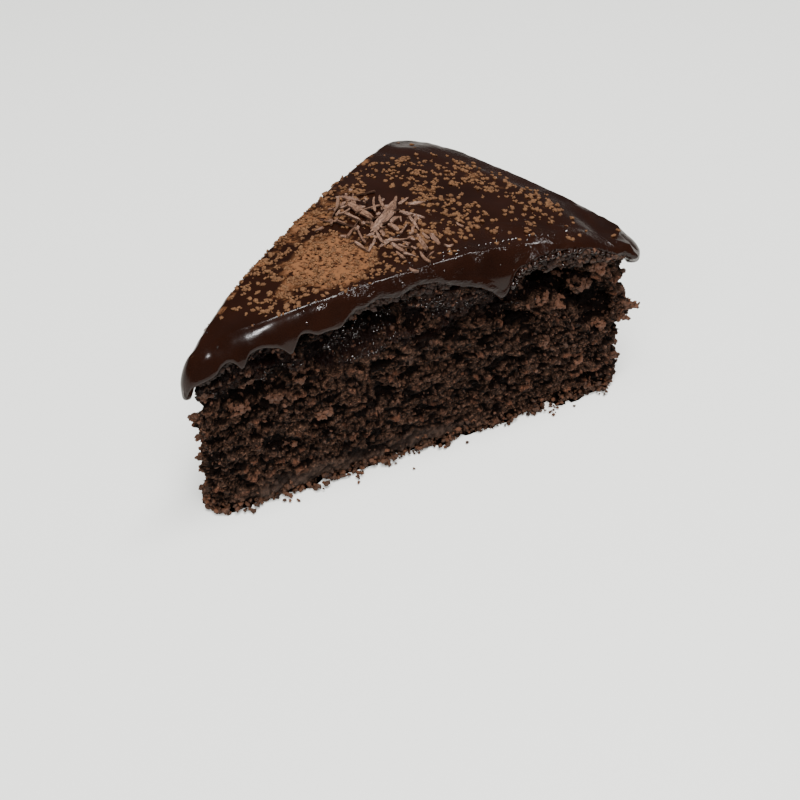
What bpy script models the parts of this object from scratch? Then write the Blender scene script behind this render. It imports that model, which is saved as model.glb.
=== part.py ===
# A slice of chocolate cake: a torn, crumbly sponge wedge under a thick coat of ganache
# that has run over the cut edges, with chocolate shavings and cocoa clumps on top.
# Metres, +Z up. The point of the slice faces -Y and its outer rim +Y.

import math
import random

import bmesh
import bpy
from mathutils import Vector, noise

MM = 0.001
GAP = 0.3 * MM                  # kept between the sponge and the coat on it

# The slice, cut from a round cake
CAKE_RADIUS = 124.6 * MM
HALF_ANGLE = math.radians(20.2)
AXIS_Y = -66 * MM               # the whole cake's centre lies on this point of the Y axis
TIP_RADIUS = 5.2 * MM
CORNER_RADIUS = 7 * MM
FLARE = 4.8 * MM                # how much further out the rim stands at the shown corner
FLARE_START = math.radians(-3)

# Heights of the sponge and of the coat, highest on a ring part way out
CROWN_RING = 68 * MM
CROWN_REACH = 59 * MM
CROWN_FALL = 6.3 * MM
TIP_FALL = 3 * MM               # and its further fall at the very point
TIP_FALL_RING = (8 * MM, 26 * MM)
SPONGE_HEIGHT = 48.8 * MM
COAT_HEIGHT = 53 * MM

# The shown cut and the point lean in towards their top, the hidden cut and the rim hardly at all
SHOWN_LEAN = 5.2 * MM
HIDDEN_LEAN = 0.3 * MM
RIM_LEAN = 1.0 * MM
TIP_LEAN = 3.2 * MM
TIP_BLEND = (10 * MM, 32 * MM)  # over these distances from the cake's centre it fades out
LEAN_HEIGHT = 46 * MM
RIM_BLEND = 28 * MM             # the corners lean with the cuts, fading out this far along the rim

# Mesh steps round the wall and up it
SHOWN_STEP = 2.2 * MM
HIDDEN_STEP = 3.4 * MM
RIM_STEP = 3.2 * MM
ROUND_STEP = 1.9 * MM
WALL_ROWS = 20
DOME_SHARES = (0.2, 0.6)        # rings of the sponge's top, shares of the way to the middle

# The coat's edge
COAT_OVERHANG = 2.4 * MM        # how far the draped coat stands off the wall
LIP_COVER = 1.3 * MM            # how far its lip reaches below the sponge's top, at least
EDGE_ROUND = 5.5 * MM           # how far in the rounded shoulder reaches
EDGE_FALL = 1.8 * MM            # the top's gentle fall towards a cut
EDGE_FALL_REACH = 15 * MM
SHOULDER_SHARE = 0.6            # of the coat's edge, the rest hangs as a wall
SHOULDER_MOST = 5 * MM
RIDGE_RADIUS = 115 * MM         # a low ridge that the spreading knife left near the rim
RIDGE_HEIGHT = 0.9 * MM
RIDGE_WIDTH = 5 * MM

# Lower edge of the coat on the shown cut: hanging points (distance from the cake's centre,
# height), and how high the coat arches between each one and the next, all in millimetres
SHOWN_DRIPS = (
    (6, 34.5, 1.6), (13, 37.0, 2.2), (24.5, 38.5, 3.0), (34.5, 37.4, 4.2), (48, 42.5, 2.6), (57, 45.0, 1.6),
    (79, 44.0, 1.0), (83, 41.5, 1.6), (90.5, 36.4, 6.6), (98, 44.0, 2.4), (112, 45.6, 0.4),
    (123, 42.5, 0.6), (130, 37.8, 2.0),
)
# The same on the rim and the hidden cut, where the drips follow a rule
DRIP_PITCH = 11 * MM
DRIP_DROP = 7 * MM
DRIP_ARCH = 3 * MM

# Tears in the shown cut: both ends (distance from the cake's centre, height), half width
# and depth, in millimetres
SHOWN_TEARS = (
    ((8, 33.5), (31, 32.8), 1.9, 4.5),
    ((42, 37.0), (61, 42.5), 3.4, 8.0),
    ((53.5, 23.5), (57, 23.0), 1.3, 3.0),
    ((63, 41.0), (72, 38.2), 1.5, 3.5),
    ((70, 24.7), (80, 24.4), 1.1, 2.6),
    ((82, 37.0), (90, 35.2), 1.7, 5.0),
    ((90, 34.5), (98.5, 27.5), 1.6, 4.5),
    ((93, 40.5), (112, 36.5), 3.0, 8.5),
    ((113.5, 33.0), (120, 27.5), 3.3, 5.5),
)
# Crumb that stands out of the wall, or is missing: place, height, radius and how far
# outwards, in millimetres
SHOWN_CRAGS = (
    (4.0, 34.0, 6.0, -2.6), (4.0, 27.0, 4.5, 1.6), (4.0, 21.0, 4.0, -1.4), (4.0, 16.0, 4.0, 0.8),
    (5.0, 4.0, 5.0, 1.6),
    (131.5, 22.5, 4.2, 5.0), (129.0, 6.0, 4.5, 2.4), (127.0, 40.0, 3.5, 0.8),
)
HIDDEN_TEAR_COUNT = 7
RIM_TEAR_COUNT = 3

# Toppings
SHAVING_COUNT = 34
SHAVING_HEAP = (-4 * MM, 8.5 * MM)
SHAVING_SPREAD = (13 * MM, 9 * MM)
CLUMP_COUNT = 46
COCOA_HEAP = (-4 * MM, -12 * MM)
COCOA_STREAK = (-3 * MM, 34 * MM)

APEX = Vector((0, AXIS_Y))
MIDDLE = Vector((0, 14 * MM))   # the rings of the top and base close on this point


def clear_scene():
    for item in list(bpy.data.objects):
        bpy.data.objects.remove(item)


def smooth_step(low, high, value):
    share = min(1.0, max(0.0, (value - low) / (high - low)))
    return share * share * (3 - 2 * share)


# Plan of the slice: a sector with a rounded point and rounded outer corners

def arc_stations(centre, radius, start, end, step):
    """Stations on an arc whose radius may change with its angle."""
    count = max(2, round(abs(end - start) * radius(start) / step))
    for i in range(count):
        angle = start + (end - start) * i / count
        normal = Vector((math.cos(angle), math.sin(angle)))
        yield centre + normal * radius(angle), normal


def line_stations(start, end, normal, step):
    count = max(2, round((end - start).length / step))
    for i in range(count):
        yield start.lerp(end, i / count), normal


def corner_centre(radius, side):
    """Centre of the rounded outer corner on a side, and its angle about the cake's centre."""
    reach = math.sqrt((radius - CORNER_RADIUS) ** 2 - CORNER_RADIUS ** 2)
    along = Vector((side * math.sin(HALF_ANGLE), math.cos(HALF_ANGLE)))
    inward = Vector((-side * math.cos(HALF_ANGLE), math.sin(HALF_ANGLE)))
    centre = APEX + along * reach + inward * CORNER_RADIUS
    return APEX + along * reach, centre, math.atan2(centre.y - AXIS_Y, centre.x)


def plan():
    """Stations round the slice, each (point, outward normal, distance along the outline)."""
    cut_angle = -HALF_ANGLE
    shown_normal = Vector((math.cos(cut_angle), math.sin(cut_angle)))
    hidden_normal = Vector((-shown_normal.x, shown_normal.y))
    tip = APEX + Vector((0, TIP_RADIUS / math.sin(HALF_ANGLE)))
    shown_end, shown_corner, flare_angle = corner_centre(CAKE_RADIUS + FLARE, 1)
    hidden_end, hidden_corner, hidden_angle = corner_centre(CAKE_RADIUS, -1)

    def rim_radius(angle):
        return CAKE_RADIUS + FLARE * smooth_step(FLARE_START, math.pi / 2 - flare_angle, math.pi / 2 - angle)

    places = list(arc_stations(tip, lambda angle: TIP_RADIUS, -math.pi / 2, cut_angle, ROUND_STEP))
    cut_index = len(places)
    places += line_stations(tip + shown_normal * TIP_RADIUS, shown_end, shown_normal, SHOWN_STEP)
    places += arc_stations(shown_corner, lambda angle: CORNER_RADIUS, cut_angle, flare_angle, ROUND_STEP)
    rim_index = len(places)
    places += arc_stations(APEX, rim_radius, flare_angle, hidden_angle, RIM_STEP)
    rim_end = len(places)
    places += arc_stations(hidden_corner, lambda angle: CORNER_RADIUS, hidden_angle,
                           math.pi - cut_angle, ROUND_STEP)
    places += line_stations(hidden_end, tip + hidden_normal * TIP_RADIUS, hidden_normal, HIDDEN_STEP)
    places += arc_stations(tip, lambda angle: TIP_RADIUS, math.pi - cut_angle, 3 * math.pi / 2, ROUND_STEP)
    stations = []
    walked = 0.0
    for i, (point, normal) in enumerate(places):
        stations.append((point, normal, walked))
        walked += (places[(i + 1) % len(places)][0] - point).length
    cut_start = TIP_RADIUS / math.tan(HALF_ANGLE) - stations[cut_index][2]
    return stations, walked, cut_start, (stations[rim_index][2], stations[rim_end][2])


STATIONS, OUTLINE_LENGTH, CUT_START, RIM_SPAN = plan()


def cut_place(along):
    """Distance from the cake's centre along the shown cut, and along the hidden one."""
    return along + CUT_START, OUTLINE_LENGTH - along + CUT_START


def facing(station):
    """How far the wall at a station belongs to the shown cut, the hidden cut and the rim."""
    _, normal, along = station
    if normal.y < -math.sin(HALF_ANGLE):
        shown = 0.5 + 0.5 * normal.x / math.cos(HALF_ANGLE)
        return shown, 1 - shown, 0
    shown = 1 - smooth_step(RIM_SPAN[0], RIM_SPAN[0] + RIM_BLEND, along)
    hidden = smooth_step(RIM_SPAN[1] - RIM_BLEND, RIM_SPAN[1], along)
    return shown, hidden, 1 - shown - hidden


def plain_point(station, height, off=0.0):
    """A point off the plain, leaning wall by off, at a height, as a plan vector."""
    point, normal, along = station
    shown, hidden, rim = facing(station)
    cosine, sine = math.cos(HALF_ANGLE), math.sin(HALF_ANGLE)
    inward = Vector((-cosine, sine)) * shown * SHOWN_LEAN + Vector((cosine, sine)) * hidden * HIDDEN_LEAN
    inward -= normal * rim * RIM_LEAN
    inward.y += TIP_LEAN * (1 - smooth_step(*TIP_BLEND, min(cut_place(along))))
    return point + inward * height / LEAN_HEIGHT + normal * off


def half_width(along, height):
    """Half the width of the slice across a place on either cut."""
    leans = (SHOWN_LEAN + HIDDEN_LEAN) * height / LEAN_HEIGHT
    return max(TIP_RADIUS, min(cut_place(along)) * math.sin(HALF_ANGLE)) - leans / 2


# Heights over the plan

def crown(x, y, height):
    radius = math.hypot(x, y - AXIS_Y)
    tip = TIP_FALL * (1 - smooth_step(*TIP_FALL_RING, radius))
    return height - CROWN_FALL * ((radius - CROWN_RING) / CROWN_REACH) ** 2 - tip


def sponge_edge(station):
    """Height of the sponge's top at its wall."""
    return crown(station[0].x, station[0].y, SPONGE_HEIGHT)


def cut_distance(x, y):
    """Distance inside the nearer cut."""
    return abs(y - AXIS_Y) * math.sin(HALF_ANGLE) - abs(x) * math.cos(HALF_ANGLE)


def coat_top(x, y):
    """Height of the coat's top, without its rounded edge."""
    radius = math.hypot(x, y - AXIS_Y)
    ridge = RIDGE_HEIGHT * math.exp(-((radius - RIDGE_RADIUS) / RIDGE_WIDTH) ** 2)
    fall = EDGE_FALL * (1 - smooth_step(0, EDGE_FALL_REACH, cut_distance(x, y)))
    swell = 0.7 * MM * noise.noise(Vector((x, y, 0.3)) / (19 * MM))
    return crown(x, y, COAT_HEIGHT) + ridge - fall + swell


def ruled_drips():
    """Hanging points of the coat on the rim and the hidden cut: (along, height, arch)."""
    draw = random.Random(5)
    along = (CAKE_RADIUS + 8 * MM) - CUT_START
    drips = []
    while along < OUTLINE_LENGTH - DRIP_PITCH / 2:
        drop = DRIP_DROP * draw.uniform(0.1, 1.0) ** 1.6
        drips.append((along, SPONGE_HEIGHT - 9 * MM - drop, DRIP_ARCH * draw.uniform(0.5, 1.2)))
        along += DRIP_PITCH * draw.uniform(0.7, 1.4)
    return drips


def all_drips():
    shown = [(place * MM - CUT_START, height * MM, arch * MM) for place, height, arch in SHOWN_DRIPS]
    drips = shown + ruled_drips()
    first = drips[0]
    return drips + [(first[0] + OUTLINE_LENGTH, first[1], first[2])]


DRIPS = all_drips()


def lip(station):
    """Height of the coat's lower edge, arched between its hanging points."""
    along = station[2]
    highest = sponge_edge(station) - LIP_COVER
    if along < DRIPS[0][0]:
        along += OUTLINE_LENGTH
    for (start, low, arch), (end, next_low, _) in zip(DRIPS, DRIPS[1:]):
        if along <= end:
            share = (along - start) / (end - start)
            arched = low + (next_low - low) * share + arch * math.sin(math.pi * share) ** 0.7
            return min(highest, arched)
    return min(highest, DRIPS[-1][1])


def lowest_lips():
    """The coat's lowest edge over each station and its two neighbours, by distance along."""
    lips = [lip(station) for station in STATIONS]
    count = len(lips)
    return {STATIONS[i][2]: min(lips[i - 1], lips[i], lips[(i + 1) % count]) for i in range(count)}


LOWEST_LIPS = lowest_lips()


# Relief of the torn crumb

def ruled_tears():
    """Tears that follow a rule, on the rim and the hidden cut, in the form of SHOWN_TEARS."""
    draw = random.Random(11)
    hidden_end = OUTLINE_LENGTH - CAKE_RADIUS
    rim_start = CAKE_RADIUS + 12 * MM
    spans = ([(hidden_end, OUTLINE_LENGTH - 12 * MM)] * HIDDEN_TEAR_COUNT
             + [(rim_start, hidden_end - 12 * MM)] * RIM_TEAR_COUNT)
    tears = []
    for low, high in spans:
        start = draw.uniform(low, high - 14 * MM)
        height = draw.uniform(14, 37) * MM
        length = draw.uniform(5, 16) * MM
        end = (start + length, height + draw.uniform(-4, 4) * MM)
        tears.append(((start, height), end, draw.uniform(0.9, 2.0) * MM, draw.uniform(2, 4.5) * MM))
    return tears


def all_tears():
    shown = []
    for start, end, half_width, depth in SHOWN_TEARS:
        shown.append(((start[0] * MM - CUT_START, start[1] * MM), (end[0] * MM - CUT_START, end[1] * MM),
                      half_width * MM, depth * MM))
    return shown + ruled_tears()


TEARS = all_tears()


def tear_depth(along, height):
    """Depth of the tears at a place on the wall."""
    deepest = 0.0
    spot = Vector((along, height))
    ragged = 1 + 0.45 * noise.noise(Vector((along, height, 0.9)) / (3.5 * MM))
    for start, end, half_width, depth in TEARS:
        a = Vector(start)
        span = Vector(end) - a
        share = min(1.0, max(0.0, (spot - a).dot(span) / span.length_squared))
        away = (spot - a - span * share).length / (half_width * ragged)
        if away < 1.7:
            deepest = max(deepest, depth * (1 - smooth_step(0.55, 1.7, away)))
    return deepest


def crag_height(along, height):
    total = 0.0
    for place, level, radius, reach in SHOWN_CRAGS:
        aside = (along - (place * MM - CUT_START) + OUTLINE_LENGTH / 2) % OUTLINE_LENGTH - OUTLINE_LENGTH / 2
        away = math.hypot(aside, height - level * MM) / (radius * MM)
        total += reach * MM * max(0.0, 1 - away ** 2)
    return total


def crumb(station, height):
    """Coarse crumb: lumps a few millimetres across and flat ledges, rougher near the base's edge."""
    shown, hidden, rim = facing(station)
    point, _, along = station
    spot = Vector((point.x, point.y, height))
    lumps = noise.noise(spot / (7 * MM)) + 0.8 * noise.noise(Vector((spot.x, spot.y, height * 1.6)) / (3.2 * MM))
    place, _ = cut_place(along)
    ledges = 0.55 * MM * math.sin(height / (0.62 * MM) + 3 * noise.noise(spot / (12 * MM)))
    smeared = shown * smooth_step(2 * MM, 4 * MM, height) * (1 - smooth_step(8 * MM, 13 * MM, height))
    smeared *= 1 - smooth_step(75 * MM, 95 * MM, place)
    foot = (1 - smooth_step(1 * MM, 4.5 * MM, height)) * abs(noise.noise(spot / (4.5 * MM)))
    rough = MM * (1.15 * shown + 1.1 * hidden + 0.6 * rim) * (1 - 0.75 * smeared)
    return rough * lumps + ledges * (1 - smeared) * (1 - 0.6 * rim) + 2.6 * MM * foot * (1 - 0.5 * rim)


def relief(station, height):
    """How far the torn crumb stands off the plain wall, which is left alone under the coat."""
    along = station[2]
    under_coat = 1 - smooth_step(1.4 * MM, 4.4 * MM, LOWEST_LIPS[along] - height)
    rough = crumb(station, height) + crag_height(along, height)
    rough = rough * (1 - under_coat) - tear_depth(along, height)
    return max(rough, -0.45 * half_width(along, height))


# Solids

def material(name, colour, roughness):
    made = bpy.data.materials.new(name)
    made.use_nodes = True
    shader = made.node_tree.nodes["Principled BSDF"]
    shader.inputs["Base Color"].default_value = (*colour, 1)
    shader.inputs["Roughness"].default_value = roughness
    shader.inputs["Metallic"].default_value = 0
    return made


def ring(mesh, place, stations=None):
    """A ring of vertices, one for each station, where place(station) says."""
    return [mesh.verts.new(place(station)) for station in stations or STATIONS]


def few_starts():
    """Where each of the fewer stations of the inner rings starts its share of the full ring."""
    few = len(STATIONS) // 3
    return [i * len(STATIONS) // few for i in range(few + 1)]


FEW_STARTS = few_starts()
FEW_STATIONS = [STATIONS[(a + b) // 2] for a, b in zip(FEW_STARTS, FEW_STARTS[1:])]


def step_down(mesh, full, few):
    """Joins a full ring to a ring of the fewer stations inside it."""
    for i, near in enumerate(few):
        for k in range(FEW_STARTS[i], FEW_STARTS[i + 1]):
            mesh.faces.new((full[k], full[(k + 1) % len(full)], near))
        mesh.faces.new((full[FEW_STARTS[i + 1] % len(full)], few[(i + 1) % len(few)], near))


def bridge(mesh, lower, upper):
    """Joins two rings of as many vertices with triangles."""
    for i in range(len(lower)):
        j = (i + 1) % len(lower)
        mesh.faces.new((lower[i], lower[j], upper[j]))
        mesh.faces.new((lower[i], upper[j], upper[i]))


def fan(mesh, last, centre):
    tip = mesh.verts.new(centre)
    for i in range(len(last)):
        mesh.faces.new((last[i], last[(i + 1) % len(last)], tip))


def finish_object(mesh, name, look):
    bmesh.ops.recalc_face_normals(mesh, faces=mesh.faces)
    data = bpy.data.meshes.new(name)
    mesh.to_mesh(data)
    mesh.free()
    data.materials.append(look)
    made = bpy.data.objects.new(name, data)
    bpy.context.scene.collection.objects.link(made)
    return made


def sponge_top(station, share, rise):
    """A point over the sponge's domed top, share of the way from its edge to the middle."""
    x, y = plain_point(station, LEAN_HEIGHT, GAP if rise > 0 else 0).lerp(MIDDLE, share)
    return x, y, crown(x, y, SPONGE_HEIGHT) + rise


def dome(mesh, edge, rise):
    """Closes a full ring at the sponge's top edge with a dome of a few rings."""
    rings = []
    for share in DOME_SHARES:
        rings.append(ring(mesh, lambda station: sponge_top(station, share, rise), FEW_STATIONS))
    step_down(mesh, edge, rings[0])
    for lower, upper in zip(rings, rings[1:]):
        bridge(mesh, lower, upper)
    fan(mesh, rings[-1], (*MIDDLE, crown(*MIDDLE, SPONGE_HEIGHT) + rise))


def make_sponge():
    mesh = bmesh.new()

    def wall(share):
        def place(station):
            height = sponge_edge(station) * share
            return *plain_point(station, height, relief(station, height)), height
        return place

    rings = [ring(mesh, wall(i / WALL_ROWS)) for i in range(WALL_ROWS + 1)]
    mesh.faces.new(list(reversed(rings[0])))
    for lower, upper in zip(rings, rings[1:]):
        bridge(mesh, lower, upper)
    dome(mesh, rings[-1], 0)
    return finish_object(mesh, "sponge", material("chocolate_sponge", (0.045, 0.018, 0.010), 0.85))


def edge_round(along):
    """How far in the rounded shoulder reaches, less where the point is narrow."""
    return min(EDGE_ROUND, COAT_OVERHANG + 0.55 * half_width(along, LEAN_HEIGHT))


def coat_edge(station):
    """Heights of the coat's edge: where the top starts to turn down, where it is upright, its lip."""
    x, y = plain_point(station, LEAN_HEIGHT, COAT_OVERHANG - edge_round(station[2]))
    shoulder = coat_top(x, y)
    low = lip(station)
    turn = min(SHOULDER_MOST, SHOULDER_SHARE * (shoulder - low))
    return shoulder, shoulder - turn, low


def make_coat():
    mesh = bmesh.new()

    def inner(share):
        def place(station):
            low = coat_edge(station)[2] + 0.9 * MM
            height = low + (sponge_edge(station) + GAP - low) * share
            return *plain_point(station, height, GAP), height
        return place

    def hanging(rise, off):
        def place(station):
            _, upright, low = coat_edge(station)
            height = low + (upright - low) * rise
            return *plain_point(station, height, off), height
        return place

    def shoulder(degrees):
        angle = math.radians(degrees)

        def place(station):
            top, upright, _ = coat_edge(station)
            off = COAT_OVERHANG - edge_round(station[2]) * (1 - math.cos(angle))
            height = upright + (top - upright) * math.sin(angle)
            return *plain_point(station, height, off), height
        return place

    def top(share):
        def place(station):
            edge = COAT_OVERHANG - edge_round(station[2])
            height = coat_edge(station)[0]
            x, y = plain_point(station, height, edge).lerp(MIDDLE, share)
            return x, y, coat_top(x, y)
        return place

    places = [inner(1), inner(0), hanging(0.04, 1.0 * MM), hanging(0.0, 1.8 * MM)]
    places += [hanging(0.35, 2.5 * MM), shoulder(0), shoulder(30), shoulder(60), shoulder(90)]
    rings = [ring(mesh, place) for place in places]
    dome(mesh, rings[0], GAP)
    for lower, upper in zip(rings, rings[1:]):
        bridge(mesh, lower, upper)
    tops = [ring(mesh, top(share), FEW_STATIONS) for share in (0.2, 0.45, 0.72)]
    step_down(mesh, rings[-1], tops[0])
    for lower, upper in zip(tops, tops[1:]):
        bridge(mesh, lower, upper)
    fan(mesh, tops[-1], (*MIDDLE, coat_top(*MIDDLE)))
    return finish_object(mesh, "ganache", material("ganache", (0.022, 0.008, 0.005), 0.18))


def make_shaving(index, draw, look):
    """A thin curved strip of chocolate lying in the heap, its ends sunk in what is below."""
    x = SHAVING_HEAP[0] + SHAVING_SPREAD[0] * max(-1.2, min(1.2, draw.gauss(0, 0.55)))
    y = SHAVING_HEAP[1] + SHAVING_SPREAD[1] * max(-1.2, min(1.2, draw.gauss(0, 0.55)))
    length = draw.uniform(5.5, 13) * MM
    width = draw.uniform(1.2, 2.0) * MM
    thick = 0.7 * MM
    turn = draw.uniform(0, math.pi)
    bend = draw.uniform(-0.9, 0.9)
    layer = index % 3
    lift = (0.3 + 0.45 * layer) * MM
    mesh = bmesh.new()
    sections = []
    count = 4
    for i in range(count + 1):
        share = i / count - 0.5
        heading = turn + bend * share
        centre_x = x + math.cos(turn) * length * share - math.sin(turn) * bend * length * share ** 2 * 0.5
        centre_y = y + math.sin(turn) * length * share + math.cos(turn) * bend * length * share ** 2 * 0.5
        taper = 1 - 0.7 * abs(2 * share) ** 3
        side = Vector((-math.sin(heading), math.cos(heading))) * width * 0.5 * taper
        height = coat_top(centre_x, centre_y) + lift + 0.5 * MM * layer * (0.3 - abs(share))
        corners = ((side, -thick / 2), (-side, -thick / 2), (-side, thick / 2), (side, thick / 2))
        sections.append([mesh.verts.new((centre_x + s.x, centre_y + s.y, height + z)) for s, z in corners])
    for back, front in zip(sections, sections[1:]):
        for k in range(4):
            mesh.faces.new((back[k], back[(k + 1) % 4], front[(k + 1) % 4], front[k]))
    mesh.faces.new(sections[0])
    mesh.faces.new(list(reversed(sections[-1])))
    bmesh.ops.triangulate(mesh, faces=mesh.faces)
    return finish_object(mesh, f"shaving_{index}", look)


def clump_places(draw):
    """Cocoa clumps lie thick round a heap by the point and thinly along a streak to the rim."""
    while True:
        heap = draw.random() < 0.6
        middle, spread = (COCOA_HEAP, (8, 14)) if heap else (COCOA_STREAK, (9, 12))
        x = middle[0] + draw.gauss(0, spread[0]) * MM
        y = middle[1] + draw.gauss(0, spread[1]) * MM
        radius = math.hypot(x, y - AXIS_Y)
        if cut_distance(x, y) > 4.5 * MM and 24 * MM < radius < CAKE_RADIUS - 6 * MM:
            yield x, y


def make_clump(index, draw, spot, look):
    """A grain of clumped cocoa, half sunk in the coat."""
    x, y = spot
    size = draw.uniform(0.75, 1.15) * MM
    mesh = bmesh.new()
    bmesh.ops.create_icosphere(mesh, subdivisions=1, radius=size)
    for vert in mesh.verts:
        vert.co *= draw.uniform(0.8, 1.2)
        vert.co.z *= 0.7
    bmesh.ops.translate(mesh, verts=mesh.verts, vec=(x, y, coat_top(x, y) + 0.25 * size))
    return finish_object(mesh, f"clump_{index}", look)


def keep_largest_piece(data):
    """Drops any scrap that the union left loose or shut inside."""
    mesh = bmesh.new()
    mesh.from_mesh(data)
    left = set(mesh.verts)
    pieces = []
    while left:
        seed = left.pop()
        piece = {seed}
        edge_of = [seed]
        while edge_of:
            for link in edge_of.pop().link_edges:
                for vert in link.verts:
                    if vert in left:
                        left.discard(vert)
                        piece.add(vert)
                        edge_of.append(vert)
        pieces.append(piece)
    largest = max(pieces, key=len)
    scraps = [vert for vert in mesh.verts if vert not in largest]
    bmesh.ops.delete(mesh, geom=scraps, context="VERTS")
    mesh.to_mesh(data)
    mesh.free()


def fuse_toppings(coat):
    """Joins the shavings and the larger cocoa clumps to the coat that they lie on."""
    draw = random.Random(23)
    look = coat.data.materials[0]
    toppings = [make_shaving(i, draw, look) for i in range(SHAVING_COUNT)]
    places = clump_places(draw)
    toppings += [make_clump(i, draw, next(places), look) for i in range(CLUMP_COUNT)]
    group = bpy.data.collections.new("toppings")
    bpy.context.scene.collection.children.link(group)
    for item in toppings:
        bpy.context.scene.collection.objects.unlink(item)
        group.objects.link(item)
    union = coat.modifiers.new("toppings", "BOOLEAN")
    union.operation = "UNION"
    union.operand_type = "COLLECTION"
    union.collection = group
    union.solver = "EXACT"
    bpy.context.view_layer.update()
    seen = coat.evaluated_get(bpy.context.evaluated_depsgraph_get())
    fused = bpy.data.meshes.new_from_object(seen)
    coat.modifiers.clear()
    coat.data = fused
    keep_largest_piece(coat.data)
    for item in toppings:
        bpy.data.objects.remove(item)
    bpy.data.collections.remove(group)


def main():
    clear_scene()
    make_sponge()
    fuse_toppings(make_coat())


main()
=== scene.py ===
import json
import math
import random

import bmesh
import bpy
import numpy as np
from mathutils import Euler, Matrix, Vector, noise
from mathutils.bvhtree import BVHTree


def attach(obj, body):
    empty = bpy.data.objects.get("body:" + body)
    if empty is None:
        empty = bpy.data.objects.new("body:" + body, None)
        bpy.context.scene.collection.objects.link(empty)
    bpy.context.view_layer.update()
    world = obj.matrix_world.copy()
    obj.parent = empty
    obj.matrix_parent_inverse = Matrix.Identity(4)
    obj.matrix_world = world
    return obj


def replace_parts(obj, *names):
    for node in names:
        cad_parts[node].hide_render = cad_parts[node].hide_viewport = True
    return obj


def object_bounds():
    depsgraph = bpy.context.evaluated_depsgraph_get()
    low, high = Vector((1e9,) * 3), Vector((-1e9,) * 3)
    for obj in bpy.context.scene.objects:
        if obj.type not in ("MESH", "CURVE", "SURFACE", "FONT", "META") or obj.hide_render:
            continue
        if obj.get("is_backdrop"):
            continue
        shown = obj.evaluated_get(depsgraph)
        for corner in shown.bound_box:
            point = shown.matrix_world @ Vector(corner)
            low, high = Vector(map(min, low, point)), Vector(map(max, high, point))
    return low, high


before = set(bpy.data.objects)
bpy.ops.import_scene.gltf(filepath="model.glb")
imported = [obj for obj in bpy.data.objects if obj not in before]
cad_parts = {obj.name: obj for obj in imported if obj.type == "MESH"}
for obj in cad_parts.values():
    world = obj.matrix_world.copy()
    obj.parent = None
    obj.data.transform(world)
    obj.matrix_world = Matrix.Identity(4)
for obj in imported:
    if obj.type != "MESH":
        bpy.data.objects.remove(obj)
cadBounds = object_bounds()
mm = 0.001

# The slice's own form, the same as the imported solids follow: a rounded sector of a round cake
cake = {
    "radius": 124.6 * mm, "halfAngle": math.radians(20.2), "centreY": -66 * mm,
    "tipRadius": 5.2 * mm, "cornerRadius": 7 * mm,
    "flare": 4.8 * mm, "flareStart": math.radians(-3),          # the rim swells to the shown corner
    "crownRing": 68 * mm, "crownReach": 59 * mm, "crownFall": 6.3 * mm,
    "tipFall": 3 * mm, "tipFallRing": (8 * mm, 26 * mm),
    "spongeHeight": 48.8 * mm, "coatHeight": 53 * mm,
    "shownLean": 5.2 * mm, "hiddenLean": 0.3 * mm, "rimLean": 1 * mm, "tipLean": 3.2 * mm,
    "tipBlend": (10 * mm, 32 * mm), "leanHeight": 46 * mm, "rimBlend": 28 * mm,
}
cosHalf, sinHalf = math.cos(cake["halfAngle"]), math.sin(cake["halfAngle"])
centre = Vector((0, cake["centreY"]))
middle = Vector((0, 14 * mm))                                   # the top's rings close here
cutAlong = Vector((sinHalf, cosHalf))                           # outwards along the shown cut
cutOut = Vector((cosHalf, -sinHalf))                            # straight out of it


def easeStep(low, high, value):
    share = min(1.0, max(0.0, (value - low) / (high - low)))
    return share * share * (3 - 2 * share)


def roughAt(x, y, level, size):
    # smooth noise over the plan, from -1 to 1
    return noise.noise(Vector((x, y, level)) / size)


def scatterOf(draw):
    return Vector((draw.gauss(0, 1), draw.gauss(0, 1), draw.gauss(0, 1)))


def smoothedRing(values, reach, own=1):
    # each value round the slice averaged with its two neighbours at that reach
    count = len(values)
    return [(values[j - reach] + own * values[j] + values[(j + reach) % count]) / (2 + own)
            for j in range(count)]


# Outline: stations round the slice, each (point, outward normal, distance walked)

def arcStations(middlePoint, radiusAt, start, end, step):
    count = max(2, round(abs(end - start) * radiusAt(start) / step))
    for i in range(count):
        angle = start + (end - start) * i / count
        normal = Vector((math.cos(angle), math.sin(angle)))
        yield middlePoint + normal * radiusAt(angle), normal


def lineStations(start, end, normal, step):
    count = max(2, round((end - start).length / step))
    for i in range(count):
        yield start.lerp(end, i / count), normal


def cornerOf(radius, side):
    reach = math.sqrt((radius - cake["cornerRadius"]) ** 2 - cake["cornerRadius"] ** 2)
    end = centre + Vector((side * sinHalf, cosHalf)) * reach
    middlePoint = end + Vector((-side * cosHalf, sinHalf)) * cake["cornerRadius"]
    return end, middlePoint, math.atan2(middlePoint.y - centre.y, middlePoint.x)


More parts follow.
